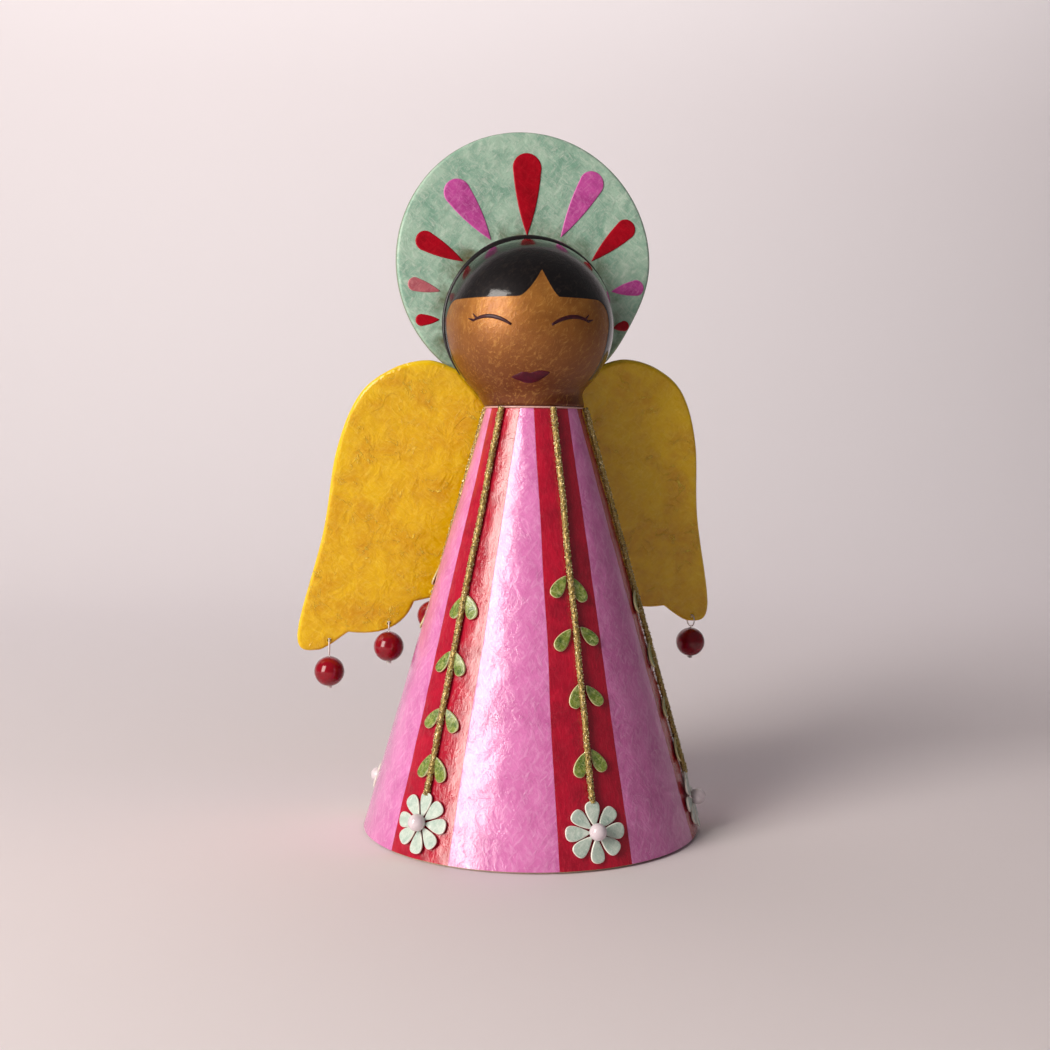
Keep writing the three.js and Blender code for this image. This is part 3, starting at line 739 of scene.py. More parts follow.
def wrap_on_dress(mesh, azimuth, z0):
    """Bends a flat mesh onto the dress: x runs round it, y up its slope and z out from it."""
    for vertex in mesh.vertices:
        x, y, out = (c / MM for c in vertex.co)
        z = z0 + y * SLANT
        vertex.co = [c * MM for c in on_dress(azimuth + x / dress_radius(z), z, out)]
    mesh.update()


def stripe_azimuth(k):
    return radians(STRIPE_TURNS[k % STRIPES] + 360 * (k // STRIPES))


def seam_azimuth(seam, z):
    """Where a seam between two stripes lies; even seams are left of a red panel, odd ones right."""
    width = RED_BASE_WIDTH + (RED_TOP_WIDTH - RED_BASE_WIDTH) * z / DRESS_HEIGHT
    wobble = SEAM_WOBBLE * drift(z / SEAM_WOBBLE_LENGTH, 7.3 * (seam % (2 * STRIPES)), 0.5)
    side = 1 if seam % 2 else -1
    return stripe_azimuth(seam // 2) + (side * width / 2 + wobble) / dress_radius(z)


def dress_panel(name, seam):
    """A veneer strip between one seam and the next, with softly rounded long edges."""
    outer, inner, rim, flat = [], [], [], []
    edges = PANEL_EDGE_STEPS
    top = DRESS_HEIGHT - PANEL_TOP_GAP
    heights = [PANEL_HEM + (top - PANEL_HEM) * row / PANEL_ROWS for row in range(1, PANEL_ROWS)]
    heights = [PANEL_HEM + e for e in edges] + heights + [top - e for e in reversed(edges)]
    for z in heights:
        left, right = seam_azimuth(seam, z), seam_azimuth(seam + 1, z)
        width = (right - left) * dress_radius(z)
        span = [edges[-1] + (width - 2 * edges[-1]) * c / PANEL_COLUMNS for c in range(1, PANEL_COLUMNS)]
        for across in edges + span + [width - e for e in reversed(edges)]:
            azimuth = left + across / dress_radius(z)
            near = min(across, width - across)
            bend = max(0.0, 1 - near / SEAM_ROUND)
            dip = SEAM_DIP * (1 - sqrt(1 - bend * bend))
            place = Vector(on_dress(azimuth, z, 0)) / VENEER_WAVE_LENGTH
            lift = VENEER_WAVE * noise.fractal(place, 1.0, 2.0, VENEER_WAVE_LAYERS)
            outer.append(on_dress(azimuth, z, lift - dip))
            inner.append(on_dress(azimuth, z, -PANEL_THICK))
            rim.append(near)
            flat.append((across - width / 2 + seam * PANEL_MAP_PITCH, z / SLANT))
    columns = 2 * len(edges) + PANEL_COLUMNS - 1
    rows = len(heights)
    back = rows * columns
    faces = grid_faces(rows, columns) + grid_faces(rows, columns, start=back, flip=True)
    for r in range(rows - 1):
        a, b = r * columns, (r + 1) * columns
        faces.append((a, b, back + b, back + a))
        a, b = a + columns - 1, b + columns - 1
        faces.append((b, a, back + a, back + b))
    for c in range(columns - 1):
        last = (rows - 1) * columns + c
        faces.append((c + 1, c, back + c, back + c + 1))
        faces.append((last, last + 1, back + last + 1, back + last))
    return build_mesh(name, outer + inner, faces, rim=rim + rim, uv=flat + flat)


def new_tree(name, inputs):
    """A geometry tree with a geometry input, the named inputs and a geometry output."""
    tree = bpy.data.node_groups.new(name, "GeometryNodeTree")
    tree.interface.new_socket("Geometry", in_out="INPUT", socket_type="NodeSocketGeometry")
    for label, kind in inputs.items():
        tree.interface.new_socket(label, in_out="INPUT", socket_type="NodeSocket" + kind)
    tree.interface.new_socket("Geometry", in_out="OUTPUT", socket_type="NodeSocketGeometry")
    return tree, add(tree, "NodeGroupInput").outputs


def end_tree(tree, geometry, material):
    """Ends a tree: real geometry with its material."""
    real = feed(tree, "GeometryNodeRealizeInstances", {"Geometry": geometry})
    dressed = feed(tree, "GeometryNodeSetMaterial", {"Geometry": real, "Material": material})
    add(tree, "NodeGroupOutput", {"Geometry": dressed})
    return tree


def grown(tree, mesh, **values):
    """The plain mesh that a tree makes from a starting mesh and its named sizes."""
    host = linked("grown", mesh)
    modifier = host.modifiers.new("grow", "NODES")
    modifier.node_group = tree
    for item in tree.interface.items_tree:
        if item.in_out == "INPUT" and item.name in values:
            modifier[item.identifier] = values[item.name]
    graph = bpy.context.evaluated_depsgraph_get()
    result = bpy.data.meshes.new_from_object(host.evaluated_get(graph))
    host.modifiers.remove(modifier)
    bpy.data.objects.remove(host)
    return result


def twisted_cord_tree():
    """A cord of twisted strands along a path."""
    tree, given = new_tree("twisted_cord", {
        "Radius": "Float", "Lay": "Float", "Strands": "Float", "Depth": "Float", "Step": "Float",
        "Material": "Material"})
    path = feed(tree, "GeometryNodeMeshToCurve", {"Mesh": given["Geometry"]})
    even = feed(tree, "GeometryNodeResampleCurve", {"Curve": path, "Length": given["Step"]}, mode="LENGTH")
    along = feed(tree, "GeometryNodeSplineParameter", out="Length")
    twist = compute(tree, "MULTIPLY", compute(tree, "DIVIDE", along, given["Lay"]), 2 * pi)
    turned = feed(tree, "GeometryNodeSetCurveTilt", {"Curve": even, "Tilt": twist})
    ring = feed(tree, "GeometryNodeCurvePrimitiveCircle", {"Resolution": 24, "Radius": given["Radius"]})
    spot = feed(tree, "GeometryNodeInputPosition")
    axes = add(tree, "ShaderNodeSeparateXYZ", {0: spot}).outputs
    strand = compute(tree, "MULTIPLY", compute(tree, "ARCTAN2", axes["Y"], axes["X"]), given["Strands"])
    size = compute(tree, "MULTIPLY_ADD", compute(tree, "COSINE", strand), given["Depth"], 1.0)
    lobed = feed(tree, "ShaderNodeVectorMath", {0: spot, "Scale": size}, operation="SCALE")
    section = feed(tree, "GeometryNodeSetPosition", {"Geometry": ring, "Position": lobed})
    cord = feed(tree, "GeometryNodeCurveToMesh", {
        "Curve": turned, "Profile Curve": section, "Fill Caps": True})
    smooth = feed(tree, "GeometryNodeSetShadeSmooth", {"Geometry": cord})
    return end_tree(tree, smooth, given["Material"])


def glitter_tree():
    """Glitter grains stuck all over a surface."""
    tree, given = new_tree("glitter_grains", {
        "Grain": "Float", "Density": "Float", "Seed": "Int", "Material": "Material"})
    seed = given["Seed"]
    spots = feed(tree, "GeometryNodeDistributePointsOnFaces", {
        "Mesh": given["Geometry"], "Density": given["Density"], "Seed": seed}, "Points")
    grain = feed(tree, "GeometryNodeMeshIcoSphere", {"Radius": given["Grain"], "Subdivisions": 1})
    turn = feed(tree, "FunctionNodeRandomValue", {
        "Max": (6.283, 6.283, 6.283), "Seed": seed}, data_type="FLOAT_VECTOR")
    size = feed(tree, "FunctionNodeRandomValue", {
        "Min": GRAIN_LEAST, "Max": GRAIN_MOST, "Seed": seed}, data_type="FLOAT_VECTOR")
    grains = feed(tree, "GeometryNodeInstanceOnPoints", {
        "Points": spots, "Instance": grain, "Rotation": turn, "Scale": size})
    return end_tree(tree, grains, given["Material"])


def laid_pieces_tree():
    """Copies of one small piece on points, each by its own turn, tilt and size."""
    tree, given = new_tree("laid_pieces", {"Piece": "Object", "Material": "Material"})
    piece = feed(tree, "GeometryNodeObjectInfo", {"Object": given["Piece"]}, "Geometry")
    turn = feed(tree, "GeometryNodeInputNamedAttribute", {"Name": "turn"}, data_type="FLOAT_VECTOR")
    size = feed(tree, "GeometryNodeInputNamedAttribute", {"Name": "size"}, data_type="FLOAT")
    copies = feed(tree, "GeometryNodeInstanceOnPoints", {
        "Points": given["Geometry"], "Instance": piece, "Rotation": turn, "Scale": size})
    return end_tree(tree, copies, given["Material"])


def laid_pieces(tree, shape, material, places):
    """One mesh of a shape laid at places: point, turn about three axes, size."""
    mesh = bpy.data.meshes.new("places")
    mesh.from_pydata(in_metres([p[0] for p in places]), [], [])
    turn = mesh.attributes.new("turn", "FLOAT_VECTOR", "POINT")
    turn.data.foreach_set("vector", [a for p in places for a in p[1]])
    size = mesh.attributes.new("size", "FLOAT", "POINT")
    size.data.foreach_set("value", [p[2] for p in places])
    host = linked("shape", shape)
    result = grown(tree, mesh, Piece=host, Material=material)
    bpy.data.objects.remove(host)
    return result


def egg_outline(start, length, width, pull, stalk_swell, end_swell):
    """A narrow stalk end at the start and a full round end, as two mirrored curves along x."""
    side = []
    for i in range(EGG_STEPS + 1):
        t = i / EGG_STEPS
        x = 3 * (1 - t) ** 2 * t * pull + 3 * (1 - t) * t * t + t ** 3
        y = 3 * (1 - t) ** 2 * t * stalk_swell + 3 * (1 - t) * t * t * end_swell
        side.append((start + length * x, width / 2 * y))
    return [(x, -y) for x, y in side] + side[-2:0:-1]


def shell_chip(name, outline, thick, length, cup):
    """A small plate of thin shell, with its two ends curled up."""
    vertices, faces, rim = shell_plate(outline, thick, CHIP_ROUND, CHIP_STEP)
    curled = [(x, y, z + cup * (2 * x / length - 1) ** 2) for x, y, z in vertices]
    return build_mesh(name, curled, faces, rim=rim)


def jitter(k, i, spread):
    """A fixed small offset, the i-th of the k-th group."""
    return spread * drift(3.7 * k + 0.31, 5.9 * i + 0.17, 1.3)


def make_vine(k, trees, leaf):
    """One cord with its glitter and its pairs of leaves, bent onto the dress."""
    top = (DRESS_HEIGHT - CORD_TOP_INSET) / SLANT
    foot = FLOWER_HEIGHT / SLANT + FLOWER_R - CORD_FOOT_LAP
    path = []
    for i in range(CORD_PATH_STEPS + 1):
        y = foot + (top - foot) * i / CORD_PATH_STEPS
        wander = CORD_WANDER * drift(y / CORD_WANDER_LENGTH, k * 4.1, 0.2)
        path.append((wander, y, CORD_OUT))
    line = bpy.data.meshes.new("cord_line")
    line.from_pydata(in_metres(path), [(i, i + 1) for i in range(CORD_PATH_STEPS)], [])
    cord = grown(trees["cord"], line, Radius=CORD_R * MM, Lay=CORD_LAY * MM * CORD_STRANDS,
                 Strands=float(CORD_STRANDS), Depth=CORD_STRAND_DEPTH, Step=CORD_STEP * MM,
                 Material=FINISHES["cord"])
    grains = grown(trees["glitter"], cord, Grain=GRAIN_SIZE * MM, Density=GRAINS_PER_MM2 / MM ** 2,
                   Seed=k, Material=FINISHES["glitter"])
    places = []
    for i, rise in enumerate(LEAF_PAIR_RISES[k % 2]):
        for hand in (1, -1):
            n = 2 * i + hand
            heading = -LEAF_DROOP if hand > 0 else 180 + LEAF_DROOP
            turn = radians(heading + jitter(k, n, LEAF_TURN_SPREAD * 2))
            tilt = radians(jitter(k, 20 + i * hand, LEAF_TILT_SPREAD))
            height = rise * DRESS_HEIGHT / SLANT + jitter(k, 30 + n, LEAF_RISE_SPREAD * 2)
            start = (LEAF_STALK * cos(turn), height, LEAF_LIFT)
            places.append((start, (tilt, 0.0, turn), 1 + jitter(k, 9 + n, LEAF_SIZE_SPREAD)))
    leaves = laid_pieces(trees["laid"], leaf, FINISHES["leaf"], places)
    for mesh in (cord, grains, leaves):
        wrap_on_dress(mesh, stripe_azimuth(k), 0.0)
    vine = merged([cord, grains], f"vine_{k + 1}")
    place_piece(f"vine_cord_{k + 1}", vine, nodes=[f"vine_{k + 1}"])
    place_piece(f"vine_leaves_{k + 1}", leaves)


def make_flower(k, trees, petal):
    """Eight petals round a half pearl."""
    azimuth = stripe_azimuth(k)
    places = []
    for i in range(PETALS):
        turn = radians(360 / PETALS * i + jitter(k, i + 40, PETAL_TURN_SPREAD * 2))
        tilt = radians(jitter(k, i + 60, PETAL_TILT_SPREAD * 2))
        pitch = radians(jitter(k, i + 80, PETAL_TILT_SPREAD))
        size = 1 + jitter(k, i + 90, PETAL_SIZE_SPREAD)
        places.append(((0.0, 0.0, PETAL_LIFT), (tilt, pitch, turn), size))
    petals = laid_pieces(trees["laid"], petal, FINISHES["petal"], places)
    wrap_on_dress(petals, azimuth, FLOWER_HEIGHT)
    place_piece(f"flower_petals_{k + 1}", petals, nodes=[f"flower_{k + 1}"])
    low = PEARL_FLAT_OUT - PEARL_OUT
    dome = arc_points((0.0, 0.0), PEARL_R, asin(low / PEARL_R), pi / 2, PEARL_ROWS)[:-1]
    vertices, faces = lathe([(0.0, low)] + dome + [(0.0, PEARL_R)], PEARL_SIDES, (0, 0, 0))
    out = Vector(on_dress(azimuth, FLOWER_HEIGHT, 1)) - Vector(on_dress(azimuth, FLOWER_HEIGHT, 0))
    turn = Vector((0, 0, 1)).rotation_difference(out)
    seat = Vector(on_dress(azimuth, FLOWER_HEIGHT, PEARL_OUT))
    pearl = build_mesh("pearl", [turn @ Vector(v) + seat for v in vertices], faces)
    place_piece(f"half_pearl_{k + 1}", pearl, "pearl", nodes=[f"flower_pearl_{k + 1}"])


def on_head(across, rise, out=0.0):
    """A point on the ball, by millimetres across and above the middle of the face."""
    elevation = rise / HEAD_R
    azimuth = radians(FACE_TURN) + across / (HEAD_R * max(cos(elevation), 0.05))
    r = HEAD_R + out
    return (HEAD_MIDDLE.x + r * cos(elevation) * sin(azimuth),
            -r * cos(elevation) * cos(azimuth),
            HEAD_MIDDLE.z + r * sin(elevation))


def hair_edge(azimuth, elevation):
    """How far inside the painted hair a place on the ball lies, negative on the face."""
    across, rise = HEAD_R * azimuth, HEAD_R * elevation
    qx = abs(across - FACE_SIDE_SHIFT) - FACE_HALF_WIDTH + FACE_CORNER
    qy = rise - FRINGE_RISE + FACE_CORNER
    face = hypot(max(qx, 0), max(qy, 0)) + min(max(qx, qy), 0) - FACE_CORNER
    reach = (across - PARTING_PEAK) / (PARTING_LEFT if across < PARTING_PEAK else PARTING_RIGHT)
    height = FRINGE_RISE + (PARTING_RISE - FRINGE_RISE) * max(0.0, 1 - abs(reach)) ** PARTING_FLARE
    parting = (rise - height) * 0.5 if abs(reach) < 1 else abs(face) + 1
    return min(face, parting, rise - HAIR_FOOT_RISE)


def make_head():
    """The ball with its painted hair a little proud of the face."""
    low = -0.5 * pi + acos(HEAD_RISE / HEAD_R) * HEAD_FOOT_SHARE
    vertices, hair = [], []
    for row in range(HEAD_ROWS):
        elevation = low + (pi / 2 - low) * row / HEAD_ROWS
        for column in range(HEAD_COLUMNS):
            azimuth = -pi + 2 * pi * column / HEAD_COLUMNS
            inner = hair_edge(azimuth, elevation)
            out = HAIR_RELIEF * min(1.0, max(0.0, inner / HAIR_EDGE + 0.5))
            across = HEAD_R * cos(elevation) * azimuth
            vertices.append(on_head(across, HEAD_R * elevation, out))
            hair.append(inner)
    vertices.append(on_head(0, HEAD_R * pi / 2, HAIR_RELIEF))
    vertices.append((HEAD_MIDDLE.x, 0.0, HEAD_MIDDLE.z + HEAD_R * sin(low)))
    hair += [WELL_INSIDE, -WELL_INSIDE]
    faces = grid_faces(HEAD_ROWS, HEAD_COLUMNS, wrap=True)
    last = (HEAD_ROWS - 1) * HEAD_COLUMNS
    for c in range(HEAD_COLUMNS):
        after = (c + 1) % HEAD_COLUMNS
        faces.append((last + c, last + after, len(vertices) - 2))
        faces.append((after, c, len(vertices) - 1))
    mesh = build_mesh("head", vertices, faces, hair=hair)
    place_piece("painted_head", mesh, "head", nodes=["head"])


def make_eyes():
    """Two closed eyes, each a lid stroke with two lashes."""
    strokes = []
    for hand in (-1, 1):
        lid, sizes = [], []
        for i in range(LID_STEPS + 1):
            t = -1 + 2 * i / LID_STEPS
            rise = EYE_RISE - EYE_DROOP * t * t + EYE_SLANT * t
            lid.append(on_head(hand * (EYE_MIDDLE + EYE_HALF_WIDTH * t), rise))
            sizes.append(EYE_STROKE * (0.35 + 0.65 * sin(pi * (0.12 + 0.8 * (i / LID_STEPS)))))
        strokes.append((lid, sizes))
        for (x0, y0), (x1, y1) in LASHES:
            lash = [on_head(hand * (EYE_MIDDLE + x0 + (x1 - x0) * j / LASH_STEPS),
                            y0 + (y1 - y0) * j / LASH_STEPS) for j in range(LASH_STEPS + 1)]
            strokes.append((lash, [LASH_STROKE * (1.25 - 0.15 * j) for j in range(LASH_STEPS + 1)]))
    vertices, faces = [], []
    for path, sizes in strokes:
        start = len(vertices)
        points, quads = tube(path, sizes, sides=STROKE_SIDES)
        for p, centre in zip(points, [Vector(c) for c in path for _ in range(STROKE_SIDES)]):
            # A brush stroke is flat: what stands off the ball is pressed down
            out = (centre - HEAD_MIDDLE).normalized()
            offset = Vector(p) - centre
            pressed = out * offset.dot(out) * STROKE_PRESS
            vertices.append(tuple(centre + offset - pressed + out * STROKE_PROUD))
        faces += [tuple(start + i for i in q) for q in quads]
    mesh = build_mesh("eye_strokes", vertices, faces)
    place_piece("eye_strokes", mesh, "eye")


def make_lips():
    """Painted lips, a little raised."""
    lips, faces, rim = shell_plate(smooth_loop(UPPER_LIP + LOWER_LIP), 2 * LIP_RELIEF, LIP_ROUND, LIP_STEP)
    lips = [on_head(x, LIP_RISE + y, max(z, LIP_BACK)) for x, y, z in lips]
    mesh = build_mesh("lips", lips, [f[::-1] for f in faces], rim=rim)
    place_piece("painted_lips", mesh, "lip")


def smooth_loop(points, parts=4):
    """A closed curve through points."""
    result = []
    count = len(points)
    for i in range(count):
        p0, p1, p2, p3 = (Vector(points[(i + j) % count]) for j in (-1, 0, 1, 2))
        result += [tuple(spline_point(p0, p1, p2, p3, j / parts)) for j in range(parts)]
    return result


def spline_point(p0, p1, p2, p3, t):
    """A point between p1 and p2 of an even curve through four points."""
    return 0.5 * (2 * p1 + (p2 - p0) * t + (2 * p0 - 5 * p1 + 4 * p2 - p3) * t ** 2
                  + (3 * p1 - p0 - 3 * p2 + p3) * t ** 3)


def make_neck():
    """The neck: a round fillet of paint and filler between the dress's top and the ball."""
    vertices, hair = [], []
    foot = DRESS_HEIGHT + NECK_GAP
    for row in range(NECK_ROWS):
        t = row / (NECK_ROWS - 1)
        z = foot + NECK_HEIGHT * t
        ball = sqrt(HEAD_R ** 2 - (HEAD_MIDDLE.z - z) ** 2) + NECK_LAP * (1 - 2 * t)
        fillet = NECK_FILLET * (1 - t)
        r = (ball + NECK_R + sqrt((ball - NECK_R) ** 2 + fillet ** 2)) / 2 if row else NECK_R
        shift = HEAD_SHIFT * min(1.0, 2 * t)
        for c in range(NECK_SIDES):
            a = 2 * pi * c / NECK_SIDES
            vertices.append((shift + r * cos(a), r * sin(a), z))
            azimuth = remainder(a + pi / 2 - radians(FACE_TURN), 2 * pi)
            hair.append(hair_edge(azimuth, asin((z - HEAD_MIDDLE.z) / HEAD_R)))
    faces = grid_faces(NECK_ROWS, NECK_SIDES, wrap=True)
    for row, height in ((0, foot), (NECK_ROWS - 1, DRESS_HEIGHT + NECK_HEIGHT - NECK_DISH)):
        middle = len(vertices)
        vertices.append((HEAD_SHIFT * (row > 0), 0.0, height))
        hair.append(-WELL_INSIDE)
        for c in range(NECK_SIDES):
            a, b = row * NECK_SIDES + c, row * NECK_SIDES + (c + 1) % NECK_SIDES
            faces.append((a, b, middle) if row else (b, a, middle))
    mesh = build_mesh("neck", vertices, faces, hair=hair)
    place_piece("painted_neck", mesh, "head", nodes=["neck_collar"])
    # A pale bead of lacquer closes the seam between the dress and the neck
    turn = ring_points((0, 0), SEAM_BEAD_REACH, NECK_SIDES)
    path = [Vector((x, y, DRESS_HEIGHT - SEAM_BEAD_DROP)) for x, y in turn]
    mesh = build_mesh("neck_seam_bead", *tube(path, SEAM_BEAD_R, closed=True))
    place_piece("neck_seam_bead", mesh, "seam")


def arc_points(middle, r, start, end, count):
    """Points at even steps along an arc, with both its ends."""
    turns = [start + (end - start) * i / count for i in range(count + 1)]
    return [(middle[0] + r * cos(a), middle[1] + r * sin(a)) for a in turns]


def ring_points(middle, r, count):
    """Points at even steps round a circle."""
    return arc_points(middle, r, 0, 2 * pi * (count - 1) / count, count - 1)


def bulged(start, end, r):
    """A drop's flank from its tip to its round end, a little full in the middle."""
    start, end = Vector(start), Vector(end)
    along = (end - start).normalized()
    side = Vector((along.y, -along.x)) * r * DROP_BULGE
    shares = [i / DROP_FLANK_STEPS for i in range(DROP_FLANK_STEPS)]
    return [tuple(start.lerp(end, t) + side * 4 * t * (1 - t)) for t in shares]


def make_halo():
    """The round plate behind the head, open where the ball stands in it."""
    middle = (HALO_SHIFT, DRESS_HEIGHT + HALO_RISE)
    foot = DRESS_HEIGHT + HALO_FOOT_RISE
    dip = asin((foot - middle[1]) / HALO_R)
    outer = []
    for x, z in arc_points((0.0, 0.0), HALO_R, dip, pi - dip, HALO_ARC_STEPS):
        # The hand-cut edge is a little flat at its lower right
        off_flat = (degrees(atan2(z, x)) - HALO_FLAT_TURN) / HALO_FLAT_SPREAD
        share = 1 - HALO_FLAT_DEPTH / HALO_R * exp(-off_flat ** 2)
        outer.append((middle[0] + x * share, middle[1] + z * share))
    room = sqrt(HEAD_R ** 2 - HALO_FRONT ** 2) - HALO_SEAT_LAP
    notch = asin((foot - HEAD_MIDDLE.z) / room)
    inner = arc_points(HEAD_MIDDLE.xz, room, pi - notch, notch, HEAD_ARC_STEPS)
    plate, faces, rim = shell_plate(
        outer + inner, HALO_THICK, HALO_ROUND, HALO_STEP, wave=ripple(HALO_WAVE, HALO_WAVE_LENGTH, 2.0))
    centre = HALO_FRONT + HALO_THICK / 2
    mesh = build_mesh("halo", [(x, centre - h, z) for x, z, h in plate], faces, rim=rim)
    place_piece("halo_plate", mesh, "mint", nodes=["halo"])
    for name in HALO_DROPS:
        make_drop(name, middle)


def make_drop(name, middle):
    """A drop inlaid in the halo, with a pointed tip and a round end."""
    shade, tip, end, width = HALO_DROPS[name]
    start, finish = Vector(tip) * HALO_R, Vector(end) * HALO_R
    along = (finish - start).normalized()
    r = width * HALO_R / 2
    ball = finish - along * r
    heading = atan2(along.y, along.x)
    sweep = pi / 2 + asin(r / (ball - start).length)
    round_end = arc_points(ball, r, heading - sweep, heading + sweep, DROP_ARC_STEPS)
    outline = bulged(start, round_end[0], r) + round_end + bulged(start, round_end[-1], -r)[:0:-1]
    outline = [(x + middle[0], z + middle[1]) for x, z in outline]
    drop, faces, rim = shell_plate(outline, DROP_THICK, DROP_ROUND, DROP_STEP)
    face = HALO_FRONT - DROP_PROUD + DROP_THICK / 2
    mesh = build_mesh(name, [(x, face - h, z) for x, z, h in drop], faces, rim=rim)
    place_piece(f"inlaid_drop_{name}", mesh, shade, nodes=[f"halo_drop_{name}"])


def make_hair_ring():
    """The band where the hair meets the halo, thickest over the crown."""
    ring = sqrt((HEAD_R + HAIR_RIM_PROUD) ** 2 - HAIR_RIM_BACK ** 2)
    dip = radians(HAIR_RIM_DIP)
    arc = arc_points(HEAD_MIDDLE.xz, ring, -dip, pi + dip, HEAD_ARC_STEPS)
    thick = []
    for i, (x, z) in enumerate(arc):
        turn = atan2(z - HEAD_MIDDLE.z, x - HEAD_MIDDLE.x) - radians(HAIR_RIM_CROWN_TURN)
        # The thin tails below the ball's middle stand for the shadow line along the jaw: painted shade
        tail = min(1.0, 0.2 + 0.08 * min(i, len(arc) - 1 - i))
        thick.append(tail * (HAIR_RIM_R + HAIR_RIM_CROWN * max(0.0, cos(turn))))
    mesh = build_mesh("hair_ring", *tube([(x, HAIR_RIM_BACK, z) for x, z in arc], thick, HAIR_RIM_SIDES))
    place_piece("hair_ring", mesh, "ring", nodes=["hair_rim"])


def wing_outline(rise, length):
    """A wing's edge as distance out and height."""
    def at(point):
        return Vector((point[0], DRESS_HEIGHT + rise - point[1] * length / WING_LENGTH))

    steps = WING_CURVE_STEPS
    edge = [at(p) for p in WING_UPPER_EDGE]
    points = [at(WING_ROOT)]
    for i in range(len(edge) - 1):
        p0, p3 = edge[max(i - 1, 0)], edge[min(i + 2, len(edge) - 1)]
        points += [spline_point(p0, edge[i], edge[i + 1], p3, j / steps) for j in range(steps)]
    start, (pull, end) = edge[-1], (at(p) for p in WING_LOBE)
    for t in [j / steps for j in range(steps + 1)]:
        points.append(start.lerp(pull, t).lerp(pull.lerp(end, t), t))
    return [tuple(p) for p in points + [at(p) for p in WING_INNER_FOOT]]


def joint_place(name):
    """Where a joint turns, in millimetres."""
    return next(Vector(j["pos_m"]) / MM for j in frame["joints"] if j["name"] == name)


def make_wing(side):
    """A golden wing plate that leans with the dress's back, with its thread holes."""
    hand, rise, length = WINGS[side]
    sweep = radians(WING_SWEEP)
    out = Vector((hand * cos(sweep), sin(sweep), 0))
    up = Vector((0, -LEAN, 1))
    through = out.cross(up).normalized()
    origin = Vector((0, DRESS_BASE_R - WING_ROOT_INSET, 0))
    holes = []
    for i in range(BEADS_PER_WING):
        hole = joint_place(f"loop_{side}_{i + 1}_sway")
        holes.append(ring_points((hole.x / out.x, hole.z), HOLE_R, HOLE_SIDES))
    plate, faces, rim = shell_plate(
        wing_outline(rise, length), WING_THICK, WING_ROUND, WING_STEP, holes=holes,
        wave=ripple(WING_WAVE, WING_WAVE_LENGTH, 5.0 + hand))
    places = []
    for u, z, h in plate:
        place = origin + out * u + up * z + through * h * -hand
        # The root is let into the veneer and goes no deeper
        seat = dress_radius(place.z) - ROOT_DEPTH + h * ROOT_SPLAY
        share = seat / place.xy.length if place.z < DRESS_HEIGHT else 1.0
        places.append((place.x * max(1.0, share), place.y * max(1.0, share), place.z))
    mesh = build_mesh(f"wing_{side}", places, [f[::-1] for f in faces], rim=rim)
    place_piece(f"wing_plate_{side}", mesh, "gold", nodes=[f"wing_{side}"])


def make_bead(side, i):
    """A bead on its thread loop: the loop rides its own body and the knot goes with the bead."""
    hole = joint_place(f"loop_{side}_{i}_sway")
    length = hole.z - joint_place(f"bead_{side}_{i}_nod").z
    sweep = radians(WING_SWEEP)
    across = Vector((-WINGS[side][0] * sin(sweep), cos(sweep), 0))
    half = [(y * LOOP_REACH, -z * length) for y, z in LOOP_SHAPE]
    outline = [(0.0, 0.0)] + half + [(0.0, -length)] + [(-y, z) for y, z in reversed(half)]
    path = [hole + across * y + Vector((0, 0, z)) for y, z in smooth_loop(outline, parts=6)]
    loop = build_mesh("loop", *tube(path, THREAD_R, sides=8, closed=True))
    place_piece(f"thread_loop_{side}_{i}", loop, "thread", body=f"loop_{side}_{i}",
                nodes=[f"bead_loop_{side}_{i}"])
    body = f"bead_{side}_{i}"
    low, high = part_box(body)
    centre = (low + high) / 2 / MM
    mouth = asin(sqrt(1 - (BEAD_MOUTH_R / BEAD_R) ** 2))
    ball = arc_points((0.0, 0.0), BEAD_R, -mouth, mouth, BEAD_ROWS)
    top = ball[-1][1]
    floor = top - BEAD_WELL
    well = [(BEAD_MOUTH_R * 0.72, top - 0.25), (BEAD_MOUTH_R * 0.6, floor), (0.0, floor)]
    profile = [(r, -z) for r, z in reversed(well)] + ball + well
    bead = build_mesh("bead", *lathe(profile, BEAD_SIDES, centre))
    place_piece(f"pearl_bead_{side}_{i}", bead, "bead", body=body, nodes=[body])
    tie = centre + Vector((0, 0, -BEAD_R - KNOT_DROP))
    knot = []
    for j in range(KNOT_POINTS):
        t = 2 * pi * j / KNOT_POINTS
        knot.append(tie + KNOT_SIZE * Vector((
            sin(t) + 2 * sin(2 * t), cos(t) - 2 * cos(2 * t), -sin(3 * t))))
    vertices, faces = tube(knot, THREAD_R * 0.8, sides=7, closed=True)
    stem = [centre + Vector((0, 0, BEAD_R - 1.2)), centre + Vector((0, 0, BEAD_R + 0.25))]
    more, more_faces = tube(stem, THREAD_R * 0.9, sides=8)
    faces += [tuple(len(vertices) + c for c in f) for f in more_faces]
    tied = build_mesh("knot", vertices + more, faces)
    place_piece(f"thread_knot_{side}_{i}", tied, "thread", body=body)


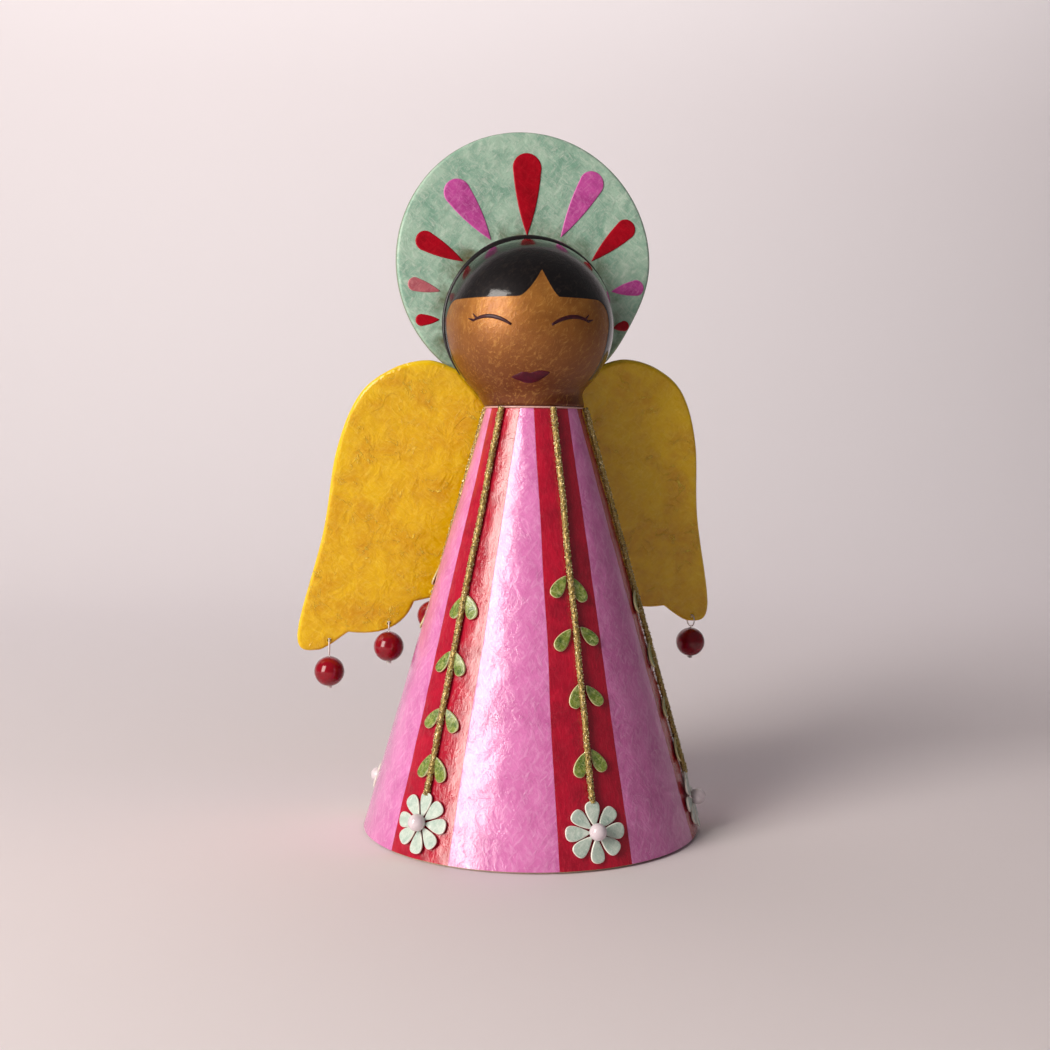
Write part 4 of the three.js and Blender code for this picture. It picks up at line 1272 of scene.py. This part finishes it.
def make_finishes():
    """Every material of the topper, by its place."""
    darkening_place = tuple(c * MM for c in HEAD_MIDDLE + Vector((2.5, 0, 2.5)))
    return {
        "pink_panel": shell_veneer(
            "pink_shell_veneer", ("#DA7CB8", "#C866A4", "#EEAED8", "#CC70AC"), 16.0, 1.5, 0.4, rim_mm=0.25,
            mottle=0.6, coat=1.0, gloss=0.08, coat_ior=1.66, turns=(0.5, -0.6), on_map=True),
        "red_panel": shell_veneer(
            "red_shell_veneer", ("#B4062C", "#940424", "#CA2C42", "#A40826"), 14.0, 1.2, 0.35, rim_mm=0.25,
            mottle=0.5, coat=1.0, gloss=0.08, coat_ior=1.66, turns=(0.1, -0.12), on_map=True),
        "red": shell_veneer(
            "red_shell_inlay", ("#A8041C", "#8A0416", "#B81828", "#A8182C"), 9.0, 1.2, 0.15),
        "magenta": shell_veneer(
            "magenta_shell_inlay", ("#C4509E", "#A83E86", "#D884BC", "#C86CAA"), 7.0, 1.2, 0.15),
        "rose": shell_veneer(
            "rose_shell_inlay", ("#B8646C", "#9E505C", "#CC888C", "#BC7C80"), 7.0, 1.2, 0.15),
        "mint": shell_veneer(
            "mint_shell_veneer", ("#A4C2AE", "#7CA490", "#DAE2D6", "#808C78"), 9.0, 1.1, 0.3, rim_mm=0.5,
            mottle=0.55, darkening=("#5E4C22", darkening_place, 37.0, 46.0)),
        "gold": shell_veneer(
            "golden_shell_veneer", ("#DEB400", "#CC9600", "#FBE458", "#E6C024"), 15.0, 1.3, 0.5, rim_mm=1.1,
            mottle=0.32, coat=0.75, gloss=0.08, crumple=1.0, nap=0.2, crease_glint_and_relief=1.1),
        "leaf": shell_veneer(
            "green_shell_leaf", ("#7C8C36", "#2E561A", "#D0D494", "#D2CA98"), 2.2, 0.8, 0.2, rim_mm=0.3,
            mottle=0.75, coat=0.9, gloss=0.12, coat_ior=1.6),
        "petal": shell_veneer(
            "pale_mint_shell_petal", ("#C2D0C4", "#A2BAAE", "#E6ECE4", "#E8E6DC"), 4.0, 0.9, 0.2,
            coat=0.7, gloss=0.12),
        "head": head_paint(),
        "ring": gloss_paint("black_gloss_enamel", "#141012", "#241C1E", 0.5),
        "seam": gloss_paint("pale_rose_lacquer", "#CFA49C", "#B98880", 0.6),
        "eye": gloss_paint("dark_maroon_enamel", "#2E0F17", "#4A1A24", 0.1),
        "lip": gloss_paint("plum_gloss_enamel", "#44061A", "#5A0E22", 0.2),
        "pearl": pearl_coat("white_pearl_lacquer", "#E2D6DC", "#CFC0C8"),
        "bead": pearl_coat("deep_red_pearl_lacquer", "#8A041A", "#740314"),
        # The braid's dark ground stands for the shade in the gaps between the glitter grains: painted shade
        "cord": glitter_gold("gold_braid_thread", 0.3, ("#2A220C", "#6E5A26", "#A08848")),
        "glitter": glitter_gold("gold_glitter_grain", 0.5, ("#1E1A0A", "#B0924A", "#FFF3C4")),
        "thread": nylon_thread(),
        "card": rolled_card(),
        "wood": softwood(),
    }


FINISHES = make_finishes()


def make_topper():
    """Every piece of the topper, from the dress up."""
    for node, finish in (("dress_core", "card"), ("neck_dowel", "wood")):
        carried = frame["nodes"][node].data.materials
        carried.clear()
        carried.append(FINISHES[finish])
    trees = {"cord": twisted_cord_tree(), "glitter": glitter_tree(), "laid": laid_pieces_tree()}
    outline = egg_outline(0.0, LEAF_LENGTH, LEAF_WIDTH, *LEAF_SWELL)
    leaf = shell_chip("leaf", outline, LEAF_THICK, LEAF_LENGTH, LEAF_CUP)
    outline = egg_outline(PETAL_INNER_R, FLOWER_R - PETAL_INNER_R, PETAL_WIDTH, *PETAL_SWELL)
    petal = shell_chip("petal", outline, PETAL_THICK, PETAL_CUP_LENGTH, PETAL_CUP)
    for k in range(STRIPES):
        for colour, seam in (("red", 2 * k), ("pink", 2 * k + 1)):
            node = f"{colour}_panel_{k + 1}"
            place_piece(f"{colour}_veneer_{k + 1}", dress_panel(node, seam), f"{colour}_panel",
                        nodes=[node])
        make_vine(k, trees, leaf)
        make_flower(k, trees, petal)
    for make in (make_head, make_eyes, make_lips, make_neck, make_halo, make_hair_ring):
        make()
    for side in WINGS:
        make_wing(side)
        for i in range(1, BEADS_PER_WING + 1):
            make_bead(side, i)


def studio_paper():
    """Matt pale paper of the floor and wall."""
    material, _, _ = new_material("pale_studio_paper")
    return finished(material, {
        "Base Color": linear("#EAE2E4"), "Roughness": 0.85, "Specular IOR Level": 0.2})


def area_lamp(name, place, back, size, power, colour="#FFFFFF"):
    """A soft box; back points from what it lights to the lamp."""
    lamp = bpy.data.lights.new(name, "AREA")
    lamp.shape = "RECTANGLE"
    lamp.size, lamp.size_y = size
    lamp.energy = power
    lamp.color = linear(colour)[:3]
    holder = linked(name, lamp)
    holder.location = place
    holder.rotation_mode = "QUATERNION"
    holder.rotation_quaternion = Vector(back).to_track_quat("Z", "Y")


def make_studio():
    """A pale floor that curves up into a pale wall, with soft light mostly from the left."""
    profile = [(FLOOR_FRONT, 0.0), (FLOOR_BACK, 0.0)]
    for i in range(1, COVE_STEPS + 1):
        turn = i * pi / (2 * COVE_STEPS)
        profile.append((FLOOR_BACK + COVE_R * sin(turn), COVE_R - COVE_R * cos(turn)))
    profile.append((FLOOR_BACK + COVE_R, WALL_TOP))
    points = [(x, y, z) for y, z in profile for x in (-SHEET_HALF_WIDTH, SHEET_HALF_WIDTH)]
    sheet = bpy.data.meshes.new("floor_and_wall")
    sheet.from_pydata(points, [], grid_faces(len(profile), 2))
    sheet.polygons.foreach_set("use_smooth", [True] * len(sheet.polygons))
    sheet.materials.append(studio_paper())
    stage = linked("floor_and_wall", sheet)
    stage.location.z = -FLOOR_DROP
    world = bpy.data.worlds.new("studio")
    world.use_nodes = True
    world.node_tree.nodes.clear()
    surround = feed(world.node_tree, "ShaderNodeBackground", {"Color": linear("#F1EDEE"), "Strength": 0.15})
    add(world.node_tree, "ShaderNodeOutputWorld", {"Surface": surround})
    bpy.context.scene.world = world
    a, e = radians(KEY_AZIMUTH), radians(KEY_ELEVATION)
    away = Vector((sin(a) * cos(e), -cos(a) * cos(e), sin(e)))
    area_lamp("key", Vector(LAMP_AIM) + away * KEY_REACH, away, KEY_SIZE, KEY_POWER, "#FFF8F0")
    # A wide lamp above and behind the topper lights the wall alone
    area_lamp("wall", WALL_LAMP_PLACE, WALL_LAMP_BACK, WALL_LAMP_SIZE, WALL_LAMP_POWER)


def make_camera():
    """The photo's camera: turned, pitched down and rolled."""
    camera = bpy.data.cameras.new("camera")
    camera.lens = CAMERA_LENS
    camera.sensor_width = CAMERA_SENSOR
    camera.sensor_fit = "HORIZONTAL"
    holder = linked("camera", camera)
    holder.location = [c * MM for c in CAMERA_PLACE]
    aim = Matrix.Rotation(-radians(CAMERA_TURN), 4, "Z")
    for angle, axis in ((90 - CAMERA_PITCH, "X"), (CAMERA_ROLL, "Z")):
        aim = aim @ Matrix.Rotation(radians(angle), 4, axis)
    holder.rotation_mode = "QUATERNION"
    holder.rotation_quaternion = aim.to_quaternion()
    bpy.context.scene.camera = holder


make_topper()
make_studio()
make_camera()
bpy.context.scene.view_settings.view_transform = "Standard"
